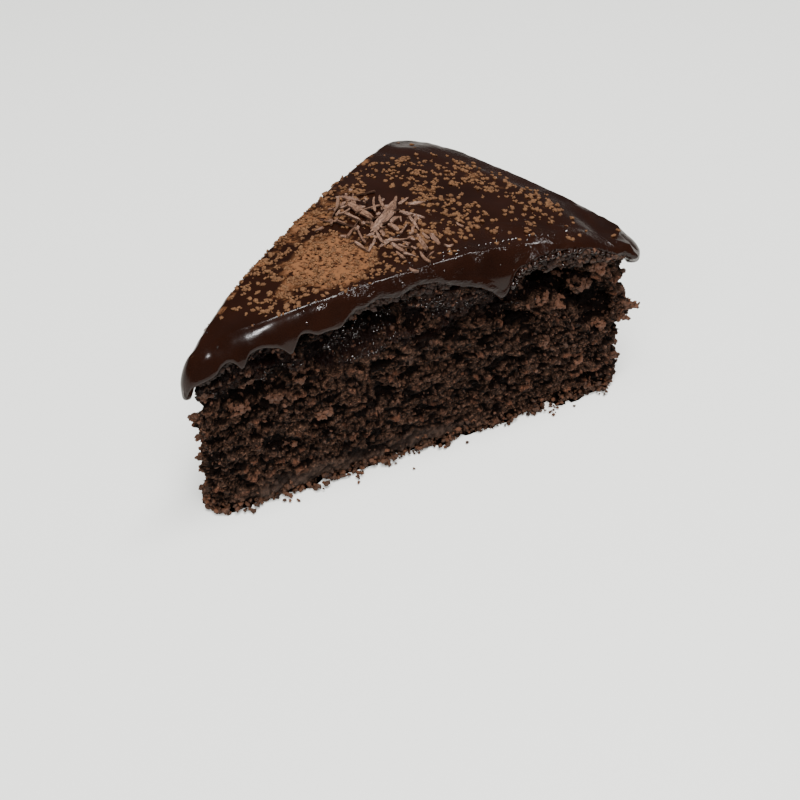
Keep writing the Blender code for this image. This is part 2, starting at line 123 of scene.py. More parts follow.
def outline(cutStep, hiddenStep, rimStep, roundStep):
    turn = cake["halfAngle"]
    tipRadius, cornerRadius = cake["tipRadius"], cake["cornerRadius"]
    hiddenOut = Vector((-cutOut.x, cutOut.y))
    tip = centre + Vector((0, tipRadius / sinHalf))
    shownEnd, shownCorner, flareAngle = cornerOf(cake["radius"] + cake["flare"], 1)
    hiddenEnd, hiddenCorner, hiddenAngle = cornerOf(cake["radius"], -1)

    def rimRadius(angle):
        flare = easeStep(cake["flareStart"], math.pi / 2 - flareAngle, math.pi / 2 - angle)
        return cake["radius"] + cake["flare"] * flare

    places = list(arcStations(tip, lambda angle: tipRadius, -math.pi / 2, -turn, roundStep))
    cutIndex = len(places)
    places += lineStations(tip + cutOut * tipRadius, shownEnd, cutOut, cutStep)
    places += arcStations(shownCorner, lambda angle: cornerRadius, -turn, flareAngle, roundStep)
    rimIndex = len(places)
    places += arcStations(centre, rimRadius, flareAngle, hiddenAngle, rimStep)
    rimEnd = len(places)
    places += arcStations(hiddenCorner, lambda angle: cornerRadius, hiddenAngle, math.pi + turn,
                          roundStep)
    places += lineStations(hiddenEnd, tip + hiddenOut * tipRadius, hiddenOut, hiddenStep)
    places += arcStations(tip, lambda angle: tipRadius, math.pi + turn, 3 * math.pi / 2, roundStep)
    stations, walked = [], 0.0
    for i, (point, normal) in enumerate(places):
        stations.append((point, normal, walked))
        walked += (places[(i + 1) % len(places)][0] - point).length
    return {
        "stations": stations, "length": walked,
        "cutStart": tipRadius / math.tan(turn) - stations[cutIndex][2],
        "rimSpan": (stations[rimIndex][2], stations[rimEnd][2]),
    }


plan = outline(0.6 * mm, 0.8 * mm, 0.8 * mm, 0.5 * mm)


def cutPlaces(along):
    # distance from the cake's middle along the shown cut, and along the hidden one
    return along + plan["cutStart"], plan["length"] - along + plan["cutStart"]


def facing(station):
    _, normal, along = station
    if normal.y < -sinHalf:
        shown = 0.5 + 0.5 * normal.x / cosHalf
        return shown, 1 - shown, 0
    start, end = plan["rimSpan"]
    shown = 1 - easeStep(start, start + cake["rimBlend"], along)
    hidden = easeStep(end - cake["rimBlend"], end, along)
    return shown, hidden, 1 - shown - hidden


def wallPoint(station, height, off=0.0):
    # a point off the plain leaning wall, in plan
    point, normal, along = station
    shown, hidden, rim = facing(station)
    inward = Vector((-cosHalf, sinHalf)) * shown * cake["shownLean"]
    inward += Vector((cosHalf, sinHalf)) * hidden * cake["hiddenLean"]
    inward -= normal * rim * cake["rimLean"]
    inward.y += cake["tipLean"] * (1 - easeStep(*cake["tipBlend"], min(cutPlaces(along))))
    return point + inward * height / cake["leanHeight"] + normal * off


def halfWidth(along, height):
    leans = (cake["shownLean"] + cake["hiddenLean"]) * height / cake["leanHeight"]
    return max(cake["tipRadius"], min(cutPlaces(along)) * sinHalf) - leans / 2


def crown(x, y, height):
    radius = math.hypot(x, y - centre.y)
    tip = cake["tipFall"] * (1 - easeStep(*cake["tipFallRing"], radius))
    beyond = (radius - cake["crownRing"]) / cake["crownReach"]
    return height - cake["crownFall"] * beyond ** 2 - tip


def cutDistance(x, y):
    return abs(y - centre.y) * sinHalf - abs(x) * cosHalf


# Small helpers for the materials' nodes

def newLook(name):
    look = bpy.data.materials.new(name)
    look.use_nodes = True
    tree = look.node_tree
    tree.nodes.clear()
    output = tree.nodes.new("ShaderNodeOutputMaterial")
    shader = tree.nodes.new("ShaderNodeBsdfPrincipled")
    tree.links.new(shader.outputs["BSDF"], output.inputs["Surface"])
    return look, tree, shader


def put(tree, kind, **values):
    # a node, with its inputs set or linked by name and its other settings by attribute
    node = tree.nodes.new(kind)
    for key, value in values.items():
        name = key.replace("_", " ")
        if name in node.inputs:
            join(tree, value, node.inputs[name])
        else:
            setattr(node, key, value)
    return node


def join(tree, value, socket):
    if isinstance(value, bpy.types.NodeSocket):
        tree.links.new(value, socket)
    else:
        socket.default_value = value


def mapped(tree, scale):
    place = put(tree, "ShaderNodeTexCoord").outputs["Object"]
    return put(tree, "ShaderNodeMapping", Vector=place, Scale=scale).outputs["Vector"]


def ramp(tree, factor, *stops):
    node = put(tree, "ShaderNodeValToRGB", Fac=factor)
    elements = node.color_ramp.elements
    while len(elements) < len(stops):
        elements.new(0.5)
    for element, (position, colour) in zip(elements, stops):
        element.position = position
        element.color = (*colour, 1)
    return node.outputs["Color"]


def blendColour(tree, factor, first, second, mode="MIX"):
    node = tree.nodes.new("ShaderNodeMix")
    node.data_type, node.blend_type = "RGBA", mode
    join(tree, factor, node.inputs[0])
    join(tree, first if isinstance(first, bpy.types.NodeSocket) else (*first, 1), node.inputs[6])
    join(tree, second if isinstance(second, bpy.types.NodeSocket) else (*second, 1), node.inputs[7])
    return node.outputs[2]


def ranged(tree, value, fromLow, fromHigh, toLow, toHigh):
    node = put(tree, "ShaderNodeMapRange")
    for name, number in (("Value", value), ("From Min", fromLow), ("From Max", fromHigh),
                         ("To Min", toLow), ("To Max", toHigh)):
        join(tree, number, node.inputs[name])
    return node.outputs["Result"]


def mathsOf(tree, operation, first, second):
    node = put(tree, "ShaderNodeMath", operation=operation)
    join(tree, first, node.inputs[0])
    join(tree, second, node.inputs[1])
    return node.outputs["Value"]


def attributeOf(tree, name):
    return put(tree, "ShaderNodeAttribute", attribute_name=name).outputs["Fac"]


def noiseOf(tree, vector, scale, detail=3, rough=0.55):
    return put(tree, "ShaderNodeTexNoise", Vector=vector, Scale=scale, Detail=detail,
               Roughness=rough).outputs["Fac"]


# Helpers that place and scatter the pieces

def finishPiece(mesh, name, look, smooth=True):
    data = bpy.data.meshes.new(name)
    mesh.to_mesh(data)
    mesh.free()
    return placePiece(data, name, look, smooth)


def placePiece(data, name, look, smooth=True):
    data.materials.clear()
    data.materials.append(look)
    data.polygons.foreach_set("use_smooth", [smooth] * len(data.polygons))
    piece = bpy.data.objects.new(name, data)
    bpy.context.scene.collection.objects.link(piece)
    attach(piece, "root")
    print(f"{name}: {len(data.polygons)} faces")
    return piece


def lumpShapes(count, subdivisions, rough, seed):
    # a few irregular grains, each a list of corners and a list of triangles
    draw = random.Random(seed)
    shapes = []
    for i in range(count):
        mesh = bmesh.new()
        bmesh.ops.create_icosphere(mesh, subdivisions=subdivisions, radius=1)
        shift = Vector((draw.uniform(-9, 9), draw.uniform(-9, 9), draw.uniform(-9, 9)))
        for vert in mesh.verts:
            vert.co *= 1 + rough * (noise.noise(vert.co * 1.3 + shift) + draw.uniform(-0.35, 0.35))
        corners = np.array([vert.co[:] for vert in mesh.verts])
        faces = np.array([[vert.index for vert in face.verts] for face in mesh.faces])
        mesh.free()
        shapes.append((corners, faces))
    return shapes


def scatter(name, shapes, grains, look, smooth=True):
    # grains: (shape, matrix, tint) each; joined into one mesh
    corners, faces, tints, start = [], [], [], 0
    for shape, matrix, tint in grains:
        points, triangles = shapes[shape % len(shapes)]
        turned = points @ np.array(matrix.to_3x3()).T + np.array(matrix.translation)
        corners.append(turned)
        faces.append(triangles + start)
        tints.append(np.full(len(points), tint))
        start += len(points)
    data = bpy.data.meshes.new(name)
    data.from_pydata(np.concatenate(corners).tolist(), [], np.concatenate(faces).tolist())
    attribute = data.attributes.new("tint", "FLOAT", "POINT")
    attribute.data.foreach_set("value", np.concatenate(tints))
    return placePiece(data, name, look, smooth)


def grainMatrix(draw, place, size, flatness=1.0, up=None):
    # a random turn, squashed along up
    scale = Matrix.Diagonal((size * draw.uniform(0.75, 1.3), size * draw.uniform(0.75, 1.3),
                             size * draw.uniform(0.7, 1.0) * flatness, 1))
    sway = 0.5 if flatness > 0.5 else 0.1
    angles = (draw.uniform(-sway, sway), draw.uniform(-sway, sway), draw.uniform(0, 6.3))
    spin = Euler(angles).to_matrix().to_4x4()
    lay = up.to_track_quat("Z", "Y").to_matrix().to_4x4() if up else Matrix.Identity(4)
    return Matrix.Translation(place) @ lay @ spin @ scale


# Ganache: a thick poured coat with a domed top, a crisp edge, a sloping side and a rolled lip that
# arches between its drips
ganache = {
    "gap": 0.3 * mm, "crownFlatness": 2.4,
    "edgeFall": 1.2 * mm, "edgeFallReach": 15 * mm,              # on the hidden side only
    "ridgeRadius": 115 * mm, "ridgeHeight": 0.6 * mm, "ridgeWidth": 5 * mm,
    "sideCurve": 1.3, "lipThick": 0.75 * mm, "lipSoftening": 2,
    "outRise": 0.78,            # a lip that stands out lies this share of that above its measure
    # the lip on the shown cut: place along it and height, in mm
    "shownLip": (
        (2.0, 36.6), (3.4, 35.9), (4.7, 35.2), (5.8, 33.3), (7.4, 35.2), (9.4, 37.2), (12.5, 38.4),
        (14.5, 39.0), (16, 40.8), (18, 41.6), (20, 41.2), (21.5, 38.5), (22.6, 40.6), (24, 42.6),
        (27, 43.4), (31, 42.8), (33, 41.2), (34.3, 38.8), (35.2, 42), (37, 44.3), (39, 44.2),
        (40.8, 42.9),
        (43, 43.4), (46.5, 43.4), (48.5, 45.5), (51.5, 47), (57, 48), (62, 47.2), (64, 48.4),
        (67, 49.0), (71, 48.6), (75, 46.8), (79, 45.2), (82, 44), (85, 42), (88.7, 38.5), (90, 40),
        (91.5, 44.6), (95.6, 46.4), (99.8, 47.8), (105.4, 48.6), (109.8, 48.3), (115.8, 47.6),
        (120.6, 45.4), (123.5, 41.6), (126.5, 37.2), (129, 34.4), (131.5, 33.6), (134.5, 35.5),
    ),
    # how far its lip stands out, how tall its rolled face is, and where the top's edge lies, by
    # place along the cut, in mm
    "standOut": ((0, 2.2), (44, 2.2), (52, 1.2), (78, 1.3), (85, 2.1), (91, 2.1), (95, 0.9),
                 (118, 0.9), (126, 3.8), (134, 3.8), (146, 2.2)),
    "rolledFace": ((0, 1.2), (50, 1.2), (62, 1.5), (88, 1.6), (93, 0.9), (122, 0.9), (128, 1.7)),
    "topEdge": ((0, -2.6), (14, -1.7), (30, -1.5), (50, -1.4), (72, -1.3), (91, -2.3), (104, -4),
                (112, -5), (136, -5), (150, -1.3)),
    "hiddenEdge": -1.5 * mm, "edgeWaver": 0.6 * mm, "footSmoothing": 9,
    "waverSizes": (6 * mm, 2.2 * mm),
    "waverAlong": ((12, 0.25), (36, 0.35), (56, 1.5), (92, 1.5), (106, 1.0)),
    "cornerFall": 3.4 * mm, "corner": (39 * mm, 56 * mm), "cornerReach": 28 * mm,
    # unevenness: how much, and how far across
    "lipWobble": (0.3 * mm, 2.3 * mm), "sideSwell": (0.25 * mm, 11 * mm),
    "sideRipple": (0.1 * mm, 5.5 * mm), "topSwell": (0.6 * mm, 19 * mm),
    "topRipple": (0.16 * mm, 6.5 * mm), "strokes": (0.4 * mm, 5 * mm, 30 * mm),
    "strokesFrom": (84 * mm, 112 * mm),                          # the knife's marks, near the rim
    "bulge": 0.8 * mm, "bulgeStart": (48 * mm, 62 * mm), "bulgeEnd": (86 * mm, 100 * mm),
    "bulgeReach": 16 * mm,                                  # plumper along part of the shown edge
    # steps round the lip and up the side, in degrees
    "innerRoll": (180, 150, 120, 90), "outerRoll": (75, 58, 42, 28, 14),
    "side": (0, 7, 13, 20, 28, 36, 44, 52, 60, 67, 73, 79, 84, 88),
    "dripPitch": 11 * mm, "dripDrop": 7 * mm, "dripArch": 3 * mm,
    "topShares": (0.03, 0.07, 0.11, 0.15, 0.19, 0.23, 0.28, 0.33, 0.38, 0.43, 0.48, 0.54, 0.6,
                  0.66, 0.72, 0.78, 0.84, 0.9, 0.95),
}


def eased(points, value):
    # a smooth run through (place, value) pairs, flat beyond both ends
    if value <= points[0][0]:
        return points[0][1]
    for (start, first), (end, second) in zip(points, points[1:]):
        if value <= end:
            return first + (second - first) * easeStep(start, end, value)
    return points[-1][1]


def lipPoints():
    # the measured lip, then drips by rule round the rim and along the hidden cut
    points = [(place * mm - plan["cutStart"], height * mm) for place, height in ganache["shownLip"]]
    draw = random.Random(5)
    drips, along = [points[-1]], points[-1][0] + 7 * mm
    while along < plan["length"] + points[0][0] - ganache["dripPitch"] / 2:
        drop = ganache["dripDrop"] * draw.uniform(0.1, 1.0) ** 1.6
        drips.append((along, cake["spongeHeight"] - 8.5 * mm - drop))
        along += ganache["dripPitch"] * draw.uniform(0.7, 1.4)
    drips.append((points[0][0] + plan["length"], points[0][1]))
    for (start, low), (end, nextLow) in zip(drips, drips[1:]):
        arch = ganache["dripArch"] * draw.uniform(0.6, 1.3)
        for share, rise in ((0.2, 0.8), (0.5, 1.0), (0.8, 0.8)):
            height = low + (nextLow - low) * share + arch * rise
            points.append((start + (end - start) * share, height))
        points.append((end, nextLow))
    return points


def shapeLip():
    # for each station: the lip's height, how far it stands out, its rolled face, and the top's edge
    points, (wobble, wobbleWide) = lipPoints(), ganache["lipWobble"]
    lips, outs, faces, edges = [], [], [], []
    for station in plan["stations"]:
        point, _, along = station
        place, hiddenPlace = cutPlaces(along)
        onShown = place < hiddenPlace
        near = place / mm if onShown else 0.0 if hiddenPlace < 40 * mm else 150.0
        outs.append(eased(ganache["standOut"], near) * mm)
        faces.append(eased(ganache["rolledFace"], near) * mm)
        byTip = 1 - easeStep(6 * mm, 20 * mm, hiddenPlace)
        edge = eased(ganache["topEdge"], near) * mm
        if not onShown and hiddenPlace < 118 * mm:
            edge = ganache["hiddenEdge"] + (edge - ganache["hiddenEdge"]) * byTip
        edges.append(max(edge, -0.55 * halfWidth(along, cake["leanHeight"])))
        beforeStart = along > points[0][0] + plan["length"]
        height = eased(points, along - plan["length"] if beforeStart else along)
        pastTip = easeStep(6.6 * mm, 11 * mm, place) if onShown else 0
        height += wobble * roughAt(point.x, point.y, 0.7, wobbleWide)
        lips.append(height + ganache["outRise"] * outs[-1] * pastTip)
    for i in range(ganache["lipSoftening"]):
        lips = smoothedRing(lips, 1, own=2)
    tops = []
    for i, station in enumerate(plan["stations"]):
        tops.append(coatTop(*wallPoint(station, cake["spongeHeight"], edges[i])))
        lips[i] = min(lips[i], tops[i] - faces[i] - 1.0 * mm)
    # the side slopes down to a calmer line than the lip, so the arches are cut out of an even slope
    feet = [lip + face for lip, face in zip(lips, faces)]
    for i in range(ganache["footSmoothing"]):
        for reach in (2, 5):
            feet, edges = smoothedRing(feet, reach), smoothedRing(edges, 1)
    broad, fine = ganache["waverSizes"]
    for i, (point, _, along) in enumerate(plan["stations"]):
        waver = roughAt(*point, 0.2, broad) + 0.5 * roughAt(*point, 0.8, fine)
        waver *= eased(ganache["waverAlong"], cutPlaces(along)[0] / mm)
        edges[i] += ganache["edgeWaver"] * waver
    shape = {"lip": lips, "out": outs, "face": faces, "edge": edges, "top": tops, "foot": feet}
    # how far out the side has come by the height of the lip
    shape["lipOut"] = [max(ganache["gap"] + 0.5 * mm, slopeOut(shape, i, lips[i] + faces[i]))
                       for i in range(len(lips))]
    return shape


def slopeOut(shape, i, height):
    # how far out the sloping side is at a height
    foot, edge, point = shape["foot"][i] - 0.8 * mm, shape["edge"][i], plan["stations"][i][0]
    upward = min(1.0, max(0.0, (height - foot) / (shape["top"][i] - foot)))
    outward = max(0.0, 1 - upward ** (2 / ganache["sideCurve"])) ** (ganache["sideCurve"] / 2)
    (swell, swellWide), (ripple, rippleWide) = ganache["sideSwell"], ganache["sideRipple"]
    uneven = swell * roughAt(*point, 0.4, swellWide) + ripple * roughAt(*point, height, rippleWide)
    return edge + (shape["out"][i] - edge + uneven) * outward


def coatTop(x, y):
    radius, angle = math.hypot(x, y - centre.y), math.atan2(x, y - centre.y)
    offRidge = (radius - ganache["ridgeRadius"]) / ganache["ridgeWidth"]
    ridge = ganache["ridgeHeight"] * math.exp(-offRidge ** 2)
    fall = ganache["edgeFall"] * (1 - easeStep(0, ganache["edgeFallReach"], cutDistance(x, y)))
    fall *= easeStep(-4 * mm, 4 * mm, -x)
    place = x * sinHalf + (y - centre.y) * cosHalf
    swell = easeStep(*ganache["bulgeStart"], place) * (1 - easeStep(*ganache["bulgeEnd"], place))
    swell *= 1 - easeStep(0, ganache["bulgeReach"], cutDistance(x, y)) if x > 0 else 0
    swell *= ganache["bulge"]
    away = math.hypot(x - ganache["corner"][0], y - ganache["corner"][1])
    fall += ganache["cornerFall"] * (1 - easeStep(0, ganache["cornerReach"], away))
    swell += ganache["topSwell"][0] * roughAt(x, y, 0.3, ganache["topSwell"][1])
    ripple = ganache["topRipple"][0] * roughAt(x, y, 0.6, ganache["topRipple"][1])
    deep, across, along = ganache["strokes"]
    stroke = noise.noise(Vector((radius / across, angle * cake["radius"] / along, 0.2)))
    stroke *= deep * easeStep(*ganache["strokesFrom"], radius)
    beyond = max(0.0, radius - cake["crownRing"]) / cake["crownReach"]
    flatter = cake["crownFall"] * (beyond ** 2 - beyond ** ganache["crownFlatness"])
    return crown(x, y, cake["coatHeight"]) + flatter + ridge - fall + swell + ripple + stroke


def growRing(mesh, edges, place):
    # the shell's next ring, put where place says for each station
    number = mesh.verts.layers.int["station"]
    grown = bmesh.ops.extrude_edge_only(mesh, edges=edges)["geom"]
    for vert in grown:
        if isinstance(vert, bmesh.types.BMVert):
            vert.co = place(vert[number])
    return [edge for edge in grown if isinstance(edge, bmesh.types.BMEdge)]


def makeGanache(look, shape):
    stations, lips, faces = plan["stations"], shape["lip"], shape["face"]
    thick, lipOuts, gap = ganache["lipThick"], shape["lipOut"], ganache["gap"]
    highest = cake["spongeHeight"]
    spongeEdge = [crown(station[0].x, station[0].y, highest) for station in stations]

    def lipAt(i, off, height):
        return *wallPoint(stations[i], min(height, highest), off), height

    def under(share):
        # the sponge's top, which the coat lies on
        def place(i):
            x, y = wallPoint(stations[i], cake["leanHeight"], gap).lerp(middle, share)
            return x, y, crown(x, y, highest) + gap
        return place

    def inner(share):
        def place(i):
            low = lips[i] + 0.5 * faces[i]
            return lipAt(i, gap, low + (spongeEdge[i] + gap - low) * share)
        return place

    def rollIn(degrees):
        # the lip's inner half, round
        turn = math.radians(degrees)

        def place(i):
            inset = min(thick, (lipOuts[i] - gap) / 2)
            off = gap + inset * (1 - math.sin(turn - math.pi / 2))
            return lipAt(i, off, lips[i] + 0.5 * faces[i] * (1 - math.sin(turn)))
        return place

    def rollOut(degrees):
        # its outer face, taller, undercut towards the bottom
        turn = math.radians(degrees)

        def place(i):
            inset = min(thick, (lipOuts[i] - gap) / 2)
            reach = lipOuts[i] - gap - inset
            off = gap + inset + reach * math.cos(turn) ** 0.8
            return lipAt(i, off, lips[i] + faces[i] * (1 - math.sin(turn)))
        return place

    def draped(degrees):
        # the sloping side: nearly flat between a crisp lower and a crisp upper edge
        turn = math.radians(degrees)
        upward = math.sin(turn) ** ganache["sideCurve"]

        def place(i):
            foot = lips[i] + faces[i]
            height = foot + (shape["top"][i] - foot) * upward
            fromLip = lipOuts[i] - (height - foot) * 0.9
            return lipAt(i, max(slopeOut(shape, i, height), fromLip), height)
        return place

    def top(share):
        def place(i):
            x, y = wallPoint(stations[i], highest, shape["edge"][i]).lerp(middle, share)
            return x, y, coatTop(x, y)
        return place

    mesh = bmesh.new()
    number = mesh.verts.layers.int.new("station")
    bmesh.ops.create_circle(mesh, segments=len(stations), radius=1)
    mesh.verts.ensure_lookup_table()
    for i, vert in enumerate(mesh.verts):
        vert[number] = i
        vert.co = under(0.9)(i)
    ringEdges = mesh.edges[:]
    places = [under(0.5), under(0.2), inner(1), inner(0.35)]
    places += [rollIn(degrees) for degrees in ganache["innerRoll"]]
    places += [rollOut(degrees) for degrees in ganache["outerRoll"]]
    places += [draped(degrees) for degrees in ganache["side"]]
    places += [top(share) for share in ganache["topShares"]]
    for place in places:
        ringEdges = growRing(mesh, ringEdges, place)
    bmesh.ops.holes_fill(mesh, edges=mesh.edges, sides=0)
    bmesh.ops.recalc_face_normals(mesh, faces=mesh.faces)
    names = ("dust", "pimples", "strands")
    dust, pimples, strands = (mesh.verts.layers.float.new(name) for name in names)
    for vert in mesh.verts:
        i = vert[number]
        place = cutPlaces(stations[i][2])[0]
        nearEdge = 1 - easeStep(1.2 * mm, 3.2 * mm, abs(vert.co.z - shape["top"][i]))
        patchy = 0.45 + 0.9 * noise.noise(vert.co / (4 * mm))
        vert[dust] = cocoaCover(vert.co.x, vert.co.y) if vert.co.z > 40 * mm else 0
        if place > 165 * mm:                                        # the far edge is dusted too
            onRim = 1 - easeStep(0.2 * mm, 0.7 * mm, abs(vert.co.z - shape["top"][i]))
            dusted = (1.05 + 0.9 * noise.noise(vert.co / (3 * mm))) * onRim
            vert[dust] = max(vert[dust], dusted)
        overLip = vert.co.z - lips[i] - faces[i]
        vert[strands] = 1 - easeStep(0, 1.8 * mm, overLip)
        vert[strands] *= 0.2 + 0.8 * easeStep(36 * mm, 56 * mm, place)
        vert[pimples] = patchy * nearEdge * easeStep(36 * mm, 46 * mm, place)
        vert[pimples] *= 1 - 0.85 * easeStep(118 * mm, 130 * mm, place)     # smoother round the rim
    surface = BVHTree.FromBMesh(mesh)
    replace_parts(finishPiece(mesh, "ganacheCoat", look), "ganache")
    return surface


def onCoat(surface, x, y):
    # the coat's top or side straight below a place, and the way it faces
    place, normal, _, _ = surface.ray_cast(Vector((x, y, 80 * mm)), Vector((0, 0, -1)))
    return place, normal


# Cocoa, sifted on unevenly: a thick patch by the point, thinner drifts and single clumps elsewhere
cocoa = {
    # middle x, y, spread along x, y (mm), how far it is turned, and cover from 0 to 1
    "drifts": (
        (-0.5, -12, 13.5, 13.5, 0, 2.1), (1, -23, 10, 12.5, 0, 1.25), (-18, -4, 9, 20, 0.35, 1.5),
        (-11, -21, 9, 13, 0.3, 1.25),
        (-24, 12, 6, 10, 0.3, 1.1), (-7, 29, 11, 8, 0, 1.2), (-1, 45, 16, 5.6, 0.1, 1.2),
        (14, 46, 12, 5, -0.2, 1.1), (8, 25, 9, 13, 0, 0.75), (8, 12, 9, 9, 0, 0.8),
        (18, 31, 9, 10, 0, 0.3), (-22, 31, 9, 11, 0, 0.45), (30, 44, 8, 7, 0, 0.16),
        (3, -39, 4.4, 8, 0, 0.13), (2, 2, 9, 6, 0, 0.9),
    ),
    "spacing": 0.94 * mm, "stray": 0.02, "seed": 41,
    "grain": (0.22 * mm, 0.74 * mm), "pinhole": 0.1, "pinholeWide": 1.1 * mm,
    # the thick patch has more and finer grains a clump, strewn wider
    "denseCover": 1.3, "denseShrink": 0.45, "clumpWide": (0.45 * mm, 0.62 * mm),
    "patchSizes": (2.6 * mm, 6 * mm), "patchiness": 0.42,
    "steepest": (0.3, 0.9),             # how level the coat has to be, by the hidden edge and else
}


def cocoaCover(x, y):
    cover = 0.0
    for driftX, driftY, spreadX, spreadY, turn, most in cocoa["drifts"]:
        offX, offY = x / mm - driftX, y / mm - driftY
        along = offX * math.cos(turn) + offY * math.sin(turn)
        across = offY * math.cos(turn) - offX * math.sin(turn)
        cover = max(cover, most * math.exp(-math.hypot(along / spreadX, across / spreadY) ** 3))
    fine, broad = cocoa["patchSizes"]
    patchy = roughAt(x, y, 0.1, fine) + 0.6 * roughAt(x, y, 0.5, broad)
    return max(0.0, cover + cocoa["patchiness"] * patchy * min(1, cover * 2))


def makeCocoa(look, surface):
    # each clump is one to four grains stuck together
    draw = random.Random(cocoa["seed"])
    shapes = lumpShapes(8, 1, 0.3, 3)
    grains = []
    step, (smallest, largest) = cocoa["spacing"], cocoa["grain"]
    for column in range(int(92 * mm / step)):
        for row in range(int(126 * mm / step)):
            x = -45 * mm + (column + draw.uniform(0, 1)) * step
            y = -59 * mm + (row + draw.uniform(0, 1)) * step
            cover = cocoaCover(x, y)
            pinhole = noise.cell(Vector((x, y, 0)) / cocoa["pinholeWide"]) < cocoa["pinhole"]
            chance = draw.random()
            place, normal = onCoat(surface, x, y)
            if pinhole or not place or normal.z < cocoa["steepest"][x >= -5 * mm]:
                continue
            if chance > (cover + cocoa["stray"]) / normal.z:
                continue
            dense = cover > cocoa["denseCover"]
            tint = draw.random()
            for i in range(4 if dense else draw.choice((1, 2, 3, 4))):
                growth = (largest - smallest) * (cocoa["denseShrink"] if dense else 1)
                size = smallest + growth * draw.random() ** 1.6
                wide = cocoa["clumpWide"][dense]
                aside = draw.uniform(-wide, wide), draw.uniform(-wide, wide)
                spot, up = onCoat(surface, x + aside[0], y + aside[1])
                if spot:
                    spot += up * size * draw.uniform(-0.15, 0.3)
                    grains.append((draw.randrange(8), grainMatrix(draw, spot, size, 0.6, up), tint))
    return scatter("cocoaClumps", shapes, grains, look)


# Shavings: flat strips shaved off a bar, thrown in a loose heap
shavings = {
    "count": 16, "bits": 70, "heap": (-8, 6.5), "spread": (8.6, 5.4),
    "length": (3.5, 9.5), "width": (0.55, 1.25), "thick": 0.45 * mm, "seed": 23,
    "bitLength": (0.9, 2.6), "bitWidth": (0.5, 0.9), "strewnWide": 0.95, "bitsWide": 1.25,
    "crowdReach": 8, "piled": 1.5, "keepOff": 4 * mm,       # heaped in the middle, off the cuts
    # strips that can be told apart: both ends and width, in mm
    "single": (
        ((-20.4, 7.8), (-13.8, 0.3), 1.1), ((-14.9, 6.5), (-4.8, 5.2), 1.6),
        ((-9.3, 18.0), (-4.1, 12.4), 1.0), ((-6.2, 14.8), (-1.4, 2.3), 2.1),
        ((-6.6, 16.1), (-7.0, 20.1), 0.7), ((-4.9, 18.1), (-2.4, 21.5), 1.1),
        ((-3.2, 13.4), (2.2, 16.6), 1.0), ((0.2, 13.0), (5.3, 11.5), 0.7),
        ((6.5, 9.8), (13.6, 5.8), 1.0), ((6.9, 11.2), (10.4, 9.7), 0.8),
        ((9.2, 11.3), (13.3, 10.6), 1.0), ((12.5, 4.7), (17.7, 2.7), 0.7),
        ((15.6, 3.9), (14.3, 7.3), 0.7), ((-14.3, -3.4), (-11.0, -0.6), 0.8),
        ((-12.0, -7.0), (-12.0, -4.3), 0.7), ((-12.5, 1.1), (-12.5, 5.0), 0.7),
        ((-10.5, -1.0), (-5.7, 0.5), 0.8), ((-2.3, -4.8), (-0.5, -0.5), 0.8),
        ((-1.4, -3.5), (3.2, -3.8), 1.0), ((3.4, -3.6), (1.7, 0.3), 0.8),
        ((-4.1, 0.1), (1.0, -2.3), 0.7), ((5.3, 2.3), (9.8, 1.9), 1.0),
        ((9.8, 1.7), (12.7, 3.3), 0.7), ((6.4, 3.4), (10.1, 4.2), 0.8),
        ((3.8, -0.2), (3.8, 3.9), 0.9), ((6.4, 5.3), (6.2, 7.9), 0.7),
        ((-1.1, 7.3), (2.8, 7.0), 0.9), ((-1.4, 5.9), (-3.4, 11.4), 0.9),
        ((-0.7, 7.8), (-1.7, 11.5), 0.8), ((2.7, 10.1), (3.7, 6.7), 0.7),
        ((-11.4, 2.3), (-6.9, 3.3), 0.7), ((-0.5, 2.6), (3.9, 0.9), 0.7),
    ),
}


def makeShaving(mesh, draw, start, end, width, lift, layers):
    # a blunt strip, ragged along its edges, bowed and a little twisted, then given its thickness
    grid = bmesh.ops.create_grid(mesh, x_segments=8, y_segments=4, size=0.5)["verts"]
    span = end - start
    heading = Matrix.Rotation(math.atan2(span.y, span.x), 2)
    bow = draw.uniform(-0.1, 0.1) * span.length
    twist, tilt = draw.uniform(-1.2, 1.2), draw.uniform(-0.2, 0.2)
    roll, curl = draw.uniform(-0.7, 0.7), draw.uniform(-0.4, 0.9) * mm
    ragged, tint = draw.uniform(0, 99), draw.random()
    for vert in grid:
        along, side = vert.co.x, vert.co.y
        wide = width * (1 - 0.45 * abs(2 * along) ** 5)
        wide *= 1 + 0.55 * noise.noise(Vector((along * 4, ragged, side * 3)))
        lean = roll + twist * along
        local = Vector(((along + 0.05 * math.sin(ragged + 9 * side)) * span.length,
                        side * wide * math.cos(lean) + bow * (0.5 - 2 * along * along)))
        spot = start.lerp(end, 0.5) + heading @ local
        rise = side * wide * math.sin(lean) + tilt * along * span.length
        rise += curl * (2 * along) ** 2 * 0.5
        vert.co = Vector((*spot, coatTop(*spot) + lift + rise))
        vert[layers[0]], vert[layers[1]], vert[layers[2]] = tint, side * 2, along * span.length / mm
    faces = list({face for vert in grid for face in vert.link_faces})
    bmesh.ops.solidify(mesh, geom=faces, thickness=shavings["thick"] * draw.uniform(0.7, 1.3))


def strewn(draw, scatterWide, lengths):
    heap, spread = shavings["heap"], shavings["spread"]
    spot = Vector((heap[0] + draw.gauss(0, scatterWide) * spread[0],
                   heap[1] + draw.gauss(0, scatterWide) * spread[1])) * mm
    heading = Matrix.Rotation(draw.uniform(0, math.pi), 2)
    half = heading @ Vector((draw.uniform(*lengths) / 2 * mm, 0))
    return spot - half, spot + half


